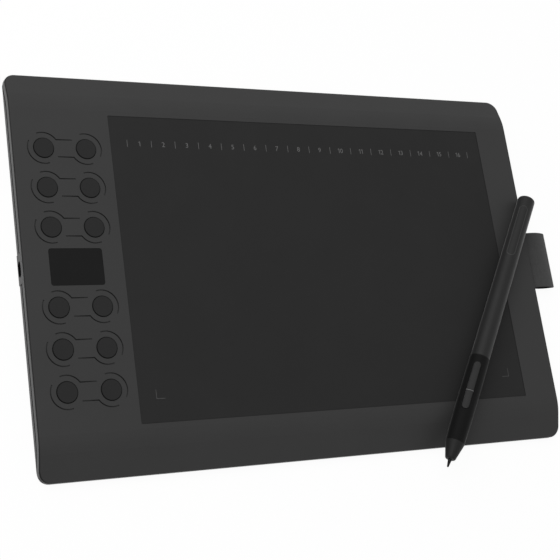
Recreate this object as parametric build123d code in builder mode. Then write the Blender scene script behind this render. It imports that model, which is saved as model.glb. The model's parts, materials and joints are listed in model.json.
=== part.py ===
from build123d import *
from math import asin, cos, degrees, radians, sin, tan
import os

os.makedirs("parts", exist_ok=True)

# Graphics tablet with pen, in millimetres.
# X runs along the long side towards the pen loop, Y runs away from the user, Z is up.
# The origin is the centre of the flat underside.

# Hidden bosses, screw holes and screw shanks repeat often, so they are eight-sided
HIDDEN_SIDES = 8

# Case outline
CASE_LENGTH = 363.2
CASE_WIDTH = 242.4
CASE_THICKNESS = 10.0
CORNER_RADIUS = 7.0
TOP_EDGE_RADIUS = 0.8
WALL = 2.0
ROOF = 2.0

# Arched top: flat in the middle, a rounded shoulder and a straight slope at each long edge
SHOULDER_RADIUS = 34.0
SHOULDER_SLOPE = 17.0
FRONT_SHOULDER = 25.2
REAR_SHOULDER = 23.2
SKIRT_DEPTH = 4.2

# Bottom shell
TRAY_SETBACK = 0.2
SKIRT_FIT = 0.2
SEAM_GAP = 0.8
FLOOR = 1.6
LIP_THICKNESS = 1.2
LIP_RISE = 1.5
TRAY_EDGE_CHAMFER = 0.5
RIB_THICKNESS = 1.2
RIB_PITCH_X = 66.0
RIB_PITCH_Y = 62.0

# Work sheet, set in from the case's edges, and what lies under it
PANEL_LEFT_MARGIN = 61.3
PANEL_RIGHT_MARGIN = 26.3
PANEL_FRONT_MARGIN = 28.3
PANEL_REAR_MARGIN = 26.1
PANEL_CORNER = 0.8
SHEET_THICKNESS = 0.6
SHEET_SUNK = 0.2
SHEET_FIT = 0.15
SENSOR_MARGIN = 1.0
SENSOR_THICKNESS = 1.0
CONNECTOR_STRIP = 9.0
FOAM_THICKNESS = 1.0
SHIELD_THICKNESS = 0.4
STACK_MARGIN = 2.0

# Express keys: two columns of six, the middle gap holds the badge
KEY_RADIUS = 6.2
KEY_FIT = 0.2
KEY_PROUD = 0.5
KEY_CHAMFER = 0.35
KEY_TRAVEL = 0.4
KEY_INSET = 32.1
KEY_Y = 0.3
KEY_COLUMN_PITCH = 26.2
KEY_ROW_PITCH = 24.4
KEY_MIDDLE_GAP = 47.8
KEY_ROWS_PER_SIDE = 3
FLANGE_OVERLAP = 0.65
FLANGE_THICKNESS = 0.9
FLANGE_GAP = 0.1
STEM_RADIUS = 2.5
STEM_CLEARANCE = 0.05

# Engraved outline round each pair of keys
RING_RADIUS = 9.7
RING_BAR_HALF = 5.4
RING_BAR_REACH = 17.8
RING_OUTER_ARC = (152.0, 136.0)
RING_BAR_ARC_END = 112.0
GROOVE_WIDTH = 0.7
GROOVE_DEPTH = 0.5

# Badge plate, in the middle of the keys
BADGE_LENGTH = 32.3
BADGE_WIDTH = 21.9
BADGE_CORNER = 1.6
BADGE_THICKNESS = 0.7
BADGE_SUNK = 0.1

# Main board, reaching past the keys and up to the case's left wall
BOARD_END_MARGIN = 14.3
BOARD_SIDE_MARGIN = 11.2
BOARD_THICKNESS = 1.2
BOARD_EDGE_GAP = 1.0
BOARD_SEAT = 3.0
BOARD_HOLE_INSET = 3.2
BOARD_BOSS_RADIUS = 3.0
BOARD_SCREW_RADIUS = 0.9
BOARD_SCREW_HEAD_RADIUS = 1.8
BOARD_SCREW_HEAD = 1.2
BOARD_SCREW_LENGTH = 3.4
SCREW_FIT = 0.05
SWITCH_SIDE = 6.0
SWITCH_HEIGHT = 1.4
PLUNGER_SIDE = 3.0
PLUNGER_HEIGHT = 0.4
# Length, width, height and place from the board's centre of each chip
BOARD_CHIPS = (
    (9.0, 9.0, 1.2, (2.0, -3.0)),
    (5.0, 4.0, 1.0, (11.0, 5.0)),
    (3.2, 2.5, 0.8, (-7.0, -9.0)),
    (4.0, 5.0, 1.0, (15.0, -8.0)),
)

# Port in the left side wall
PORT_Y = 0.8
PORT_HEIGHT = 3.7
PORT_PAD_WIDTH = 18.0
PORT_PAD_TOP = 7.4
PORT_PAD_FIT = 0.15
PORT_OPENING_LENGTH = 9.5
PORT_OPENING_HEIGHT = 3.8
SOCKET_LENGTH = 8.94
SOCKET_HEIGHT = 3.16
SOCKET_DEPTH = 8.6
SOCKET_SHELL = 0.35
SOCKET_BORE_DEPTH = 6.2
SOCKET_RECESS = 0.6
TONGUE_LENGTH = 6.7
TONGUE_HEIGHT = 0.7
TONGUE_REACH = 4.7
SOCKET_FIT = 0.1

# Ribbon cable between the boards
RIBBON_WIDTH = 20.0
RIBBON_THICKNESS = 0.3
RIBBON_Y = 30.0
RIBBON_BEND = 1.2
RIBBON_LEAD = 2.0
CONNECTOR_DEPTH = 4.0
CONNECTOR_EXTRA = 2.0
MAIN_CONNECTOR_HEIGHT = 1.5
SENSOR_CONNECTOR_HEIGHT = 1.2
CONNECTOR_INSET = 1.0

# Pen loop in the right side wall
LOOP_WIDTH = 39.4
LOOP_Y = 1.7
LOOP_REACH = 19.9
LOOP_DROP = 4.4
LOOP_BAND = 0.8
LOOP_OPEN_HALF = 2.4
LOOP_TAIL = 10.6
LOOP_ROOT_GAP = 0.8
LOOP_SLOT_FIT = 0.2
LOOP_SCREW_PITCH = 26.0
LOOP_SCREW_RADIUS = 1.0
LOOP_SCREW_HEAD_RADIUS = 1.9
LOOP_SCREW_HEAD = 0.9
LOOP_SCREW_LENGTH = 4.6
CLAMP_DEPTH = 7.0
CLAMP_GAP = 0.4
CLAMP_THICKNESS = 1.3
CLAMP_PAD_MARGIN = 2.0

# Case screws, from below
CASE_SCREW_END = 13.6
CASE_SCREW_INSET = 15.2
CASE_SCREW_RADIUS = 1.0
CASE_SCREW_HEAD_RADIUS = 2.1
CASE_SCREW_HEAD = 1.4
CASE_SCREW_LENGTH = 4.0
CASE_SCREW_SUNK = 0.6
HEAD_FIT = 0.4
CASE_BOSS_RADIUS = 4.0
TRAY_BOSS_TOP = 3.6

# Rubber feet
FOOT_LENGTH = 26.0
FOOT_WIDTH = 9.0
FOOT_PROUD = 0.8
FOOT_POCKET = 0.7
FOOT_FIT = 0.15
FOOT_END = 36.6
FOOT_INSET = 15.2
FOOT_CHAMFER = 0.3

# Pen: distances along it are measured from the tip
PEN_LENGTH = 207.0
PEN_RADIUS = 6.3
PEN_TAIL_RADIUS = 6.0
PEN_TAIL_ROUND = 2.0
LABEL_SPAN = (157.0, 198.0)
LABEL_WIDTH = 5.9
LABEL_LINE = 0.4
LABEL_DEPTH = 0.2
PEN_TIP_INSET = 103.5
PEN_TIP_OVERHANG = 13.8
PEN_HEADING = 59.43
PEN_REST_GAP = 0.05
BUTTON_TILT = 32.0
NIB_REACH = 5.5
NIB_RADIUS = 1.2
NIB_TIP_RADIUS = 0.6
NIB_TAPER = 4.6
NIB_LENGTH = 31.5
NIB_BORE_FIT = 0.1
NIB_TRAVEL = 0.5
CONE_FACE_RADIUS = 3.2
CONE_ROUND = 1.2
CONE_RADIUS = 6.2
CONE_END = 17.0
CONE_CAVITY_START = 11.0
SPIGOT_LENGTH = 7.6
SPIGOT_WALL = 0.75
PEN_FIT = 0.05
GRIP_END = 78.5
GRIP_RADIUS = 6.65
GRIP_REAR_RADIUS = 6.45
NECK_RADIUS = 5.1
PEN_BORE_RADIUS = 4.2
PEN_END_WALL = 7.0
BUTTON_WIDTH = 4.5
LOWER_BUTTON_SPAN = (38.9, 51.4)
UPPER_BUTTON_SPAN = (52.5, 72.7)
BUTTON_FIT = 0.2
BUTTON_PROUD = 0.5
BUTTON_TRAVEL = 0.4
BUTTON_FLANGE = 0.45
BUTTON_FLANGE_THICKNESS = 0.7
DIVIDER_THICKNESS = 0.6
DIVIDER_GAP = 0.6
FERRITE_START = 12.0
FERRITE_LENGTH = 15.5
FERRITE_RADIUS = 2.3
FERRITE_BORE_FIT = 0.2
COIL_MARGIN = 1.0
COIL_RADIUS = 3.3
HOLDER_RADIUS = 1.9
HOLDER_START = 28.5
HOLDER_END = 33.0
SENSOR_PUCK_RADIUS = 3.2
SENSOR_PUCK_LENGTH = 4.6
CARRIER_START = 27.9
CARRIER_SHORT = 45.0
CARRIER_FACE = -1.0
PEN_BOARD_START = 39.2
PEN_BOARD_SHORT = 10.0
PEN_BOARD_WIDTH = 6.6
PEN_BOARD_THICKNESS = 0.8
PEN_SWITCH_SIDE = 3.5
PEN_SWITCH_HEIGHT = 1.3
PEN_PLUNGER_SIDE = 1.6
PEN_PLUNGER_HEIGHT = 0.4
BUTTON_STEM_CLEARANCE = 0.1
BUTTON_STEM = 0.3

# Places worked out from the sizes above
HALF_LENGTH = CASE_LENGTH / 2
HALF_WIDTH = CASE_WIDTH / 2
PANEL_LENGTH = CASE_LENGTH - PANEL_LEFT_MARGIN - PANEL_RIGHT_MARGIN
PANEL_WIDTH = CASE_WIDTH - PANEL_FRONT_MARGIN - PANEL_REAR_MARGIN
PANEL_CENTRE = (
    (PANEL_LEFT_MARGIN - PANEL_RIGHT_MARGIN) / 2, (PANEL_FRONT_MARGIN - PANEL_REAR_MARGIN) / 2
)
FRONT_BEND = FRONT_SHOULDER - HALF_WIDTH
REAR_BEND = HALF_WIDTH - REAR_SHOULDER
ARCH_CENTRE_HEIGHT = CASE_THICKNESS - SHOULDER_RADIUS
ROOF_UNDERSIDE = CASE_THICKNESS - ROOF
TRAY_INSET = WALL + SKIRT_FIT
TRAY_INNER_INSET = TRAY_INSET + LIP_THICKNESS
SENSOR_UNDERSIDE = ROOF_UNDERSIDE - SENSOR_THICKNESS
FOAM_UNDERSIDE = SENSOR_UNDERSIDE - FOAM_THICKNESS
SHIELD_UNDERSIDE = FOAM_UNDERSIDE - SHIELD_THICKNESS
BOARD_TOP = BOARD_SEAT + BOARD_THICKNESS
PLUNGER_TOP = BOARD_TOP + SWITCH_HEIGHT + PLUNGER_HEIGHT
BOARD_LEFT = TRAY_INNER_INSET + BOARD_EDGE_GAP - HALF_LENGTH
KEY_CENTRE = (KEY_INSET - HALF_LENGTH, KEY_Y)
KEY_COLUMNS = (KEY_CENTRE[0] - KEY_COLUMN_PITCH / 2, KEY_CENTRE[0] + KEY_COLUMN_PITCH / 2)
KEY_ROWS = [
    KEY_CENTRE[1] + side * (KEY_MIDDLE_GAP / 2 + row * KEY_ROW_PITCH)
    for side, rows in ((1, range(KEY_ROWS_PER_SIDE - 1, -1, -1)), (-1, range(KEY_ROWS_PER_SIDE)))
    for row in rows
]
KEY_POINTS = [(x, y) for y in KEY_ROWS for x in KEY_COLUMNS]
FLANGE_TOP = ROOF_UNDERSIDE - FLANGE_GAP
BOARD_LENGTH = KEY_ROWS[0] - KEY_ROWS[-1] + 2 * BOARD_END_MARGIN
BOARD_WIDTH = KEY_COLUMNS[1] + BOARD_SIDE_MARGIN - BOARD_LEFT
BOARD_CENTRE = (BOARD_LEFT + BOARD_WIDTH / 2, KEY_Y)
CASE_SCREW_Y = (CASE_SCREW_INSET - HALF_WIDTH, HALF_WIDTH - CASE_SCREW_INSET)
CASE_SCREW_X = [(HALF_LENGTH - CASE_SCREW_END) * third / 3 for third in (-3, -1, 1, 3)]
CASE_SCREW_POINTS = [(x, y) for y in CASE_SCREW_Y for x in CASE_SCREW_X]
CASE_SCREW_TIP = CASE_SCREW_SUNK + CASE_SCREW_HEAD + CASE_SCREW_LENGTH
STEM_BOTTOM = PLUNGER_TOP + KEY_TRAVEL + STEM_CLEARANCE
STACK_LENGTH = PANEL_LENGTH - SENSOR_MARGIN - STACK_MARGIN - CONNECTOR_STRIP
STACK_WIDTH = PANEL_WIDTH - 2 * STACK_MARGIN
STACK_CENTRE = (
    PANEL_CENTRE[0] + (SENSOR_MARGIN + CONNECTOR_STRIP - STACK_MARGIN) / 2, PANEL_CENTRE[1]
)
RIB_COUNT_X = int(STACK_LENGTH / RIB_PITCH_X) + 1
RIB_COUNT_Y = int(STACK_WIDTH / RIB_PITCH_Y) + 1
BOARD_HOLES = [
    (BOARD_CENTRE[0] + x, BOARD_CENTRE[1] + y)
    for x, y in (
        (BOARD_HOLE_INSET - BOARD_WIDTH / 2, BOARD_HOLE_INSET - BOARD_LENGTH / 2),
        (BOARD_WIDTH / 2 - BOARD_HOLE_INSET, BOARD_HOLE_INSET - BOARD_LENGTH / 2),
        (BOARD_HOLE_INSET - BOARD_WIDTH / 2, BOARD_LENGTH / 2 - BOARD_HOLE_INSET),
        (BOARD_WIDTH / 2 - BOARD_HOLE_INSET, BOARD_LENGTH / 2 - BOARD_HOLE_INSET),
    )
]
BOARD_HOLES += [
    (KEY_CENTRE[0], KEY_CENTRE[1] + side * (KEY_MIDDLE_GAP + KEY_ROW_PITCH) / 2)
    for side in (-1, 1)
]
SOCKET_MOUTH = SOCKET_RECESS - HALF_LENGTH
SOCKET_BACK = SOCKET_MOUTH + SOCKET_DEPTH
MAIN_CONNECTOR_X = BOARD_LEFT + BOARD_WIDTH - CONNECTOR_INSET - CONNECTOR_DEPTH / 2
SENSOR_LEFT = PANEL_CENTRE[0] - PANEL_LENGTH / 2 + SENSOR_MARGIN
SENSOR_CONNECTOR_X = SENSOR_LEFT + CONNECTOR_INSET + CONNECTOR_DEPTH / 2
RIBBON_START = MAIN_CONNECTOR_X + CONNECTOR_DEPTH / 2
RIBBON_STOP = SENSOR_CONNECTOR_X - CONNECTOR_DEPTH / 2
RIBBON_LOW = BOARD_TOP + MAIN_CONNECTOR_HEIGHT / 2
RIBBON_HIGH = SENSOR_UNDERSIDE - SENSOR_CONNECTOR_HEIGHT / 2
LOOP_HEIGHT = CASE_THICKNESS - LOOP_DROP
LOOP_TAIL_END = HALF_LENGTH - LOOP_TAIL
LOOP_ROOT = HALF_LENGTH + LOOP_ROOT_GAP
LOOP_FOLD = HALF_LENGTH + LOOP_REACH - LOOP_BAND
LOOP_MIDDLE = (HALF_LENGTH + LOOP_FOLD) / 2
CLAMP_X = HALF_LENGTH - TRAY_INNER_INSET - CLAMP_GAP - CLAMP_DEPTH / 2
LOOP_SCREW_POINTS = [
    (CLAMP_X, LOOP_Y + side * LOOP_SCREW_PITCH / 2) for side in (-1, 1)
]
LOOP_SCREW_SEAT = LOOP_HEIGHT + LOOP_BAND + CLAMP_THICKNESS - LOOP_SCREW_HEAD
LOOP_SCREW_TIP = LOOP_SCREW_SEAT - LOOP_SCREW_LENGTH
PEN_TIP = (HALF_LENGTH - PEN_TIP_INSET, -HALF_WIDTH - PEN_TIP_OVERHANG)
PEN_BORE_END = PEN_LENGTH - PEN_END_WALL
CARRIER_END = PEN_LENGTH - CARRIER_SHORT
PEN_BOARD_END = CARRIER_END - PEN_BOARD_SHORT
SPIGOT_BORE = PEN_BORE_RADIUS - PEN_FIT - SPIGOT_WALL
BUTTONS_MIDDLE = (LOWER_BUTTON_SPAN[0] + UPPER_BUTTON_SPAN[1]) / 2
BUTTONS_LENGTH = UPPER_BUTTON_SPAN[1] - LOWER_BUTTON_SPAN[0]
SENSOR_PUCK_START = HOLDER_END + NIB_TRAVEL + NIB_BORE_FIT
PEN_SWITCH_SEAT = CARRIER_FACE + PEN_BOARD_THICKNESS
PEN_SWITCH_POINTS = [
    ((span[0] + span[1]) / 2, 0) for span in (LOWER_BUTTON_SPAN, UPPER_BUTTON_SPAN)
]
BUTTON_STEM_BOTTOM = (
    PEN_SWITCH_SEAT + PEN_SWITCH_HEIGHT + PEN_PLUNGER_HEIGHT + BUTTON_TRAVEL + BUTTON_STEM_CLEARANCE
)
BUTTON_FLANGE_TOP = BUTTON_STEM_BOTTOM + BUTTON_STEM + BUTTON_FLANGE_THICKNESS
DIVIDER_SEAT = BUTTON_FLANGE_TOP + DIVIDER_GAP
DIVIDER_PLACE = (LOWER_BUTTON_SPAN[1] + UPPER_BUTTON_SPAN[0]) / 2
FOOT_X = HALF_LENGTH - FOOT_END
FOOT_POINTS = [
    (x, side * (HALF_WIDTH - FOOT_INSET)) for side in (-1, 1) for x in (-FOOT_X, 0, FOOT_X)
]


def arch_region(depth):
    """Everything below the arch, taken at a depth square to the top face, as a side profile."""
    radius = SHOULDER_RADIUS - depth
    base = -CASE_THICKNESS
    fall = tan(radians(SHOULDER_SLOPE))
    with BuildSketch(Plane.YZ) as region:
        with BuildLine():
            front = CenterArc((FRONT_BEND, ARCH_CENTRE_HEIGHT), radius, 90, SHOULDER_SLOPE)
            rear = CenterArc(
                (REAR_BEND, ARCH_CENTRE_HEIGHT), radius, 90 - SHOULDER_SLOPE, SHOULDER_SLOPE
            )
            Line(front @ 0, rear @ 1)
            front_end = (-HALF_WIDTH - WALL, (front @ 1).Y - ((front @ 1).X + HALF_WIDTH + WALL) * fall)
            rear_end = (HALF_WIDTH + WALL, (rear @ 0).Y - (HALF_WIDTH + WALL - (rear @ 0).X) * fall)
            Line(front @ 1, front_end)
            Line(front_end, (-HALF_WIDTH - WALL, base))
            Line((-HALF_WIDTH - WALL, base), (HALF_WIDTH + WALL, base))
            Line((HALF_WIDTH + WALL, base), rear_end)
            Line(rear_end, rear @ 0)
        make_face()
    return region.sketch


def screw_hole(screw_radius):
    """Outline of a screw's hole, drawn into the open sketch, clear of the shank on every side."""
    RegularPolygon(screw_radius + SCREW_FIT, HIDDEN_SIDES, major_radius=False)


# Top shell: a slab that follows the arch, hollow inside its rim
with BuildPart() as case_cavity:
    with BuildSketch():
        RectangleRounded(CASE_LENGTH - 2 * WALL, CASE_WIDTH - 2 * WALL, CORNER_RADIUS - WALL)
    extrude(amount=CASE_THICKNESS)
    extrude(to_extrude=arch_region(ROOF), amount=CASE_LENGTH, both=True, mode=Mode.INTERSECT)

# Engraved outline: two open rings and two bars round each pair of keys
bar_angle = degrees(asin(RING_BAR_HALF / RING_RADIUS))
with BuildSketch(Plane.XY.offset(CASE_THICKNESS)) as key_outlines:
    for y in KEY_ROWS:
        for side in (-1, 1):
            x = KEY_CENTRE[0] + side * KEY_COLUMN_PITCH / 2
            turn = 90 + 90 * side
            bar_y = y - side * RING_BAR_HALF
            with BuildLine():
                CenterArc((x, y), RING_RADIUS, turn + RING_OUTER_ARC[0], RING_OUTER_ARC[1])
            trace(line_width=GROOVE_WIDTH)
            with BuildLine():
                CenterArc((x, y), RING_RADIUS, turn + bar_angle, RING_BAR_ARC_END - bar_angle)
                Line(
                    (x - side * RING_RADIUS * cos(radians(bar_angle)), bar_y),
                    (x - side * RING_BAR_REACH, bar_y),
                )
            trace(line_width=GROOVE_WIDTH)

with BuildPart() as roof_bosses:
    with BuildSketch(Plane.XY.offset(TRAY_BOSS_TOP)):
        with Locations(*CASE_SCREW_POINTS):
            RegularPolygon(CASE_BOSS_RADIUS, HIDDEN_SIDES)
    extrude(amount=CASE_THICKNESS - TRAY_BOSS_TOP)
    extrude(
        to_extrude=arch_region(ROOF / 2), amount=CASE_LENGTH, both=True, mode=Mode.INTERSECT
    )

with BuildPart() as top_shell:
    with BuildSketch():
        RectangleRounded(CASE_LENGTH, CASE_WIDTH, CORNER_RADIUS)
    extrude(amount=CASE_THICKNESS)
    extrude(to_extrude=arch_region(0), amount=CASE_LENGTH, both=True, mode=Mode.INTERSECT)
    walls = faces().filter_by(lambda face: abs(face.normal_at().Z) < 0.1)
    crown = faces().filter_by(lambda face: face.normal_at().Z > 0.1)
    fillet([edge for edge in crown.edges() if edge in walls.edges()], TOP_EDGE_RADIUS)
    extrude(
        to_extrude=arch_region(SKIRT_DEPTH), amount=CASE_LENGTH, both=True, mode=Mode.SUBTRACT
    )
    add(case_cavity.part, mode=Mode.SUBTRACT)
    # Recesses for the work sheet and the badge
    with BuildSketch(Plane.XY.offset(CASE_THICKNESS)):
        with Locations(PANEL_CENTRE):
            RectangleRounded(
                PANEL_LENGTH + 2 * SHEET_FIT, PANEL_WIDTH + 2 * SHEET_FIT, PANEL_CORNER
            )
    extrude(amount=-(SHEET_THICKNESS + SHEET_SUNK), mode=Mode.SUBTRACT)
    with BuildSketch(Plane.XY.offset(CASE_THICKNESS)):
        with Locations(KEY_CENTRE):
            RectangleRounded(
                BADGE_LENGTH + 2 * SHEET_FIT, BADGE_WIDTH + 2 * SHEET_FIT, BADGE_CORNER
            )
    extrude(amount=-(BADGE_THICKNESS + BADGE_SUNK), mode=Mode.SUBTRACT)
    # Key holes and the engraved outlines
    with BuildSketch(Plane.XY.offset(ROOF_UNDERSIDE)):
        with Locations(*KEY_POINTS):
            Circle(KEY_RADIUS + KEY_FIT)
    extrude(amount=ROOF, mode=Mode.SUBTRACT)
    extrude(to_extrude=key_outlines.sketch, amount=-GROOVE_DEPTH, mode=Mode.SUBTRACT)
    # Notch for the port pad and slot for the pen loop
    with BuildSketch():
        with Locations((-HALF_LENGTH, PORT_Y)):
            Rectangle(2 * WALL, PORT_PAD_WIDTH + 2 * PORT_PAD_FIT)
    extrude(amount=PORT_PAD_TOP + PORT_PAD_FIT, mode=Mode.SUBTRACT)
    with BuildSketch(Plane.XY.offset(LOOP_HEIGHT - LOOP_BAND - LOOP_SLOT_FIT)):
        with Locations((HALF_LENGTH, LOOP_Y)):
            Rectangle(2 * WALL, LOOP_WIDTH + 2 * LOOP_SLOT_FIT)
    extrude(amount=2 * (LOOP_BAND + LOOP_SLOT_FIT), mode=Mode.SUBTRACT)
    # Screw bosses down to the bottom shell's bosses
    add(roof_bosses.part)
    with BuildSketch(Plane.XY.offset(TRAY_BOSS_TOP)):
        with Locations(*CASE_SCREW_POINTS):
            screw_hole(CASE_SCREW_RADIUS)
    extrude(amount=CASE_SCREW_TIP - TRAY_BOSS_TOP + SCREW_FIT, mode=Mode.SUBTRACT)

top_shell.part.label = "top_shell"
export_step(top_shell.part, "parts/top_shell.step")

# Bottom shell: a flat tray, set back under the rim, with a lip inside it
with BuildPart() as tray_walls:
    with BuildSketch():
        RectangleRounded(
            CASE_LENGTH - 2 * TRAY_SETBACK, CASE_WIDTH - 2 * TRAY_INSET, CORNER_RADIUS - TRAY_INSET
        )
    extrude(amount=CASE_THICKNESS)
    extrude(
        to_extrude=arch_region(SKIRT_DEPTH + SEAM_GAP),
        amount=CASE_LENGTH,
        both=True,
        mode=Mode.INTERSECT,
    )
    # Slanted lower edge along the two short sides
    tray_edge = HALF_LENGTH - TRAY_SETBACK
    with BuildSketch(Plane.XZ):
        Polygon(
            (TRAY_EDGE_CHAMFER - tray_edge, 0),
            (tray_edge - TRAY_EDGE_CHAMFER, 0),
            (tray_edge, TRAY_EDGE_CHAMFER),
            (tray_edge, CASE_THICKNESS),
            (-tray_edge, CASE_THICKNESS),
            (-tray_edge, TRAY_EDGE_CHAMFER),
            align=None,
        )
    extrude(amount=CASE_WIDTH, both=True, mode=Mode.INTERSECT)

with BuildPart() as bottom_shell:
    with BuildSketch():
        RectangleRounded(
            CASE_LENGTH - 2 * TRAY_INSET, CASE_WIDTH - 2 * TRAY_INSET, CORNER_RADIUS - TRAY_INSET
        )
    extrude(amount=CASE_THICKNESS)
    extrude(
        to_extrude=arch_region(SKIRT_DEPTH - LIP_RISE),
        amount=CASE_LENGTH,
        both=True,
        mode=Mode.INTERSECT,
    )
    add(tray_walls.part)
    # Flush pad round the port
    with BuildSketch():
        with Locations((TRAY_INNER_INSET / 2 - HALF_LENGTH, PORT_Y)):
            Rectangle(TRAY_INNER_INSET, PORT_PAD_WIDTH)
    extrude(amount=PORT_PAD_TOP)
    # Hollow above the floor
    with BuildSketch(Plane.XY.offset(FLOOR)):
        RectangleRounded(
            CASE_LENGTH - 2 * TRAY_INNER_INSET,
            CASE_WIDTH - 2 * TRAY_INNER_INSET,
            CORNER_RADIUS - TRAY_INNER_INSET,
        )
    extrude(amount=CASE_THICKNESS, mode=Mode.SUBTRACT)
    # Ribs that carry the shield plate
    with BuildSketch(Plane.XY.offset(FLOOR)):
        with Locations(STACK_CENTRE):
            with GridLocations(RIB_PITCH_X, 0, RIB_COUNT_X, 1):
                Rectangle(RIB_THICKNESS, STACK_WIDTH)
            with GridLocations(0, RIB_PITCH_Y, 1, RIB_COUNT_Y):
                Rectangle(STACK_LENGTH, RIB_THICKNESS)
    extrude(amount=SHIELD_UNDERSIDE - FLOOR)
    # Bosses for the main board, the pen loop's clamp and the case screws
    with BuildSketch(Plane.XY.offset(FLOOR)):
        with Locations(*BOARD_HOLES):
            RegularPolygon(BOARD_BOSS_RADIUS, HIDDEN_SIDES)
    extrude(amount=BOARD_SEAT - FLOOR)
    with BuildSketch(Plane.XY.offset(FLOOR)):
        with Locations((CLAMP_X, LOOP_Y)):
            Rectangle(CLAMP_DEPTH, LOOP_WIDTH + 2 * CLAMP_PAD_MARGIN)
    extrude(amount=LOOP_HEIGHT - LOOP_BAND - FLOOR)
    with BuildSketch(Plane.XY.offset(FLOOR)):
        with Locations(*CASE_SCREW_POINTS):
            RegularPolygon(CASE_BOSS_RADIUS, HIDDEN_SIDES)
    extrude(amount=TRAY_BOSS_TOP - FLOOR)
    # Screw holes
    with BuildSketch(Plane.XY.offset(BOARD_SEAT)):
        with Locations(*BOARD_HOLES):
            screw_hole(BOARD_SCREW_RADIUS)
    extrude(amount=BOARD_TOP - BOARD_SCREW_LENGTH - SCREW_FIT - BOARD_SEAT, mode=Mode.SUBTRACT)
    with BuildSketch(Plane.XY.offset(LOOP_HEIGHT)):
        with Locations(*LOOP_SCREW_POINTS):
            screw_hole(LOOP_SCREW_RADIUS)
    extrude(amount=LOOP_SCREW_TIP - SCREW_FIT - LOOP_HEIGHT, mode=Mode.SUBTRACT)
    with BuildSketch():
        with Locations(*CASE_SCREW_POINTS):
            screw_hole(CASE_SCREW_RADIUS)
    extrude(amount=TRAY_BOSS_TOP, mode=Mode.SUBTRACT)
    with BuildSketch():
        with Locations(*CASE_SCREW_POINTS):
            Circle(CASE_SCREW_HEAD_RADIUS + HEAD_FIT)
    extrude(amount=CASE_SCREW_SUNK + CASE_SCREW_HEAD, mode=Mode.SUBTRACT)
    # Pockets for the feet
    with BuildSketch():
        with Locations(*FOOT_POINTS):
            SlotOverall(FOOT_LENGTH + 2 * FOOT_FIT, FOOT_WIDTH + 2 * FOOT_FIT)
    extrude(amount=FOOT_POCKET, mode=Mode.SUBTRACT)
    # Port opening and slot for the pen loop
    with BuildSketch(Plane.YZ.offset(-HALF_LENGTH)):
        with Locations((PORT_Y, PORT_HEIGHT)):
            SlotOverall(PORT_OPENING_LENGTH, PORT_OPENING_HEIGHT)
    extrude(amount=TRAY_INNER_INSET, mode=Mode.SUBTRACT)
    with BuildSketch(Plane.XY.offset(LOOP_HEIGHT - LOOP_BAND)):
        with Locations((HALF_LENGTH - TRAY_INNER_INSET / 2, LOOP_Y)):
            Rectangle(TRAY_INNER_INSET, LOOP_WIDTH + 2 * LOOP_SLOT_FIT)
    extrude(amount=CASE_THICKNESS, mode=Mode.SUBTRACT)

bottom_shell.part.label = "bottom_shell"
export_step(bottom_shell.part, "parts/bottom_shell.step")

# Work sheet: thin plastic panel, glued into its recess
with BuildPart() as work_sheet:
    with BuildSketch(Plane.XY.offset(CASE_THICKNESS - SHEET_SUNK)):
        with Locations(PANEL_CENTRE):
            RectangleRounded(PANEL_LENGTH, PANEL_WIDTH, PANEL_CORNER - SHEET_FIT)
    extrude(amount=-SHEET_THICKNESS)

work_sheet.part.label = "work_sheet"
export_step(work_sheet.part, "parts/work_sheet.step")

# Badge plate: plain rounded plate between the key rows
with BuildPart() as badge_plate:
    with BuildSketch(Plane.XY.offset(CASE_THICKNESS - BADGE_SUNK)):
        with Locations(KEY_CENTRE):
            RectangleRounded(BADGE_LENGTH, BADGE_WIDTH, BADGE_CORNER - SHEET_FIT)
    extrude(amount=-BADGE_THICKNESS)

badge_plate.part.label = "badge_plate"
export_step(badge_plate.part, "parts/badge_plate.step")

# Sensor board, foam pad and shield plate, stacked under the roof
with BuildPart() as sensor_board:
    with BuildSketch(Plane.XY.offset(ROOF_UNDERSIDE)):
        with Locations(PANEL_CENTRE):
            Rectangle(PANEL_LENGTH - 2 * SENSOR_MARGIN, PANEL_WIDTH - 2 * SENSOR_MARGIN)
    extrude(amount=-SENSOR_THICKNESS)

sensor_board.part.label = "sensor_board"
export_step(sensor_board.part, "parts/sensor_board.step")

with BuildPart() as foam_pad:
    with BuildSketch(Plane.XY.offset(SENSOR_UNDERSIDE)):
        with Locations(STACK_CENTRE):
            Rectangle(STACK_LENGTH, STACK_WIDTH)
    extrude(amount=-FOAM_THICKNESS)

foam_pad.part.label = "foam_pad"
export_step(foam_pad.part, "parts/foam_pad.step")

with BuildPart() as shield_plate:
    with BuildSketch(Plane.XY.offset(FOAM_UNDERSIDE)):
        with Locations(STACK_CENTRE):
            Rectangle(STACK_LENGTH, STACK_WIDTH)
    extrude(amount=-SHIELD_THICKNESS)

shield_plate.part.label = "shield_plate"
export_step(shield_plate.part, "parts/shield_plate.step")

# Main board under the keys, with a notch for the socket
with BuildPart() as main_board:
    with BuildSketch(Plane.XY.offset(BOARD_SEAT)):
        with Locations(BOARD_CENTRE):
            Rectangle(BOARD_WIDTH, BOARD_LENGTH)
        with Locations(*BOARD_HOLES):
            Circle(BOARD_SCREW_RADIUS + SCREW_FIT, mode=Mode.SUBTRACT)
        with Locations((SOCKET_BACK + SOCKET_FIT - SOCKET_DEPTH / 2, PORT_Y)):
            Rectangle(SOCKET_DEPTH, SOCKET_LENGTH + 2 * SOCKET_FIT, mode=Mode.SUBTRACT)
    extrude(amount=BOARD_THICKNESS)

main_board.part.label = "main_board"
export_step(main_board.part, "parts/main_board.step")

with BuildPart() as board_chips:
    for length, width, height, spot in BOARD_CHIPS:
        with BuildSketch(Plane.XY.offset(BOARD_TOP)):
            with Locations((BOARD_CENTRE[0] + spot[0], BOARD_CENTRE[1] + spot[1])):
                Rectangle(length, width)
        extrude(amount=height)

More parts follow.
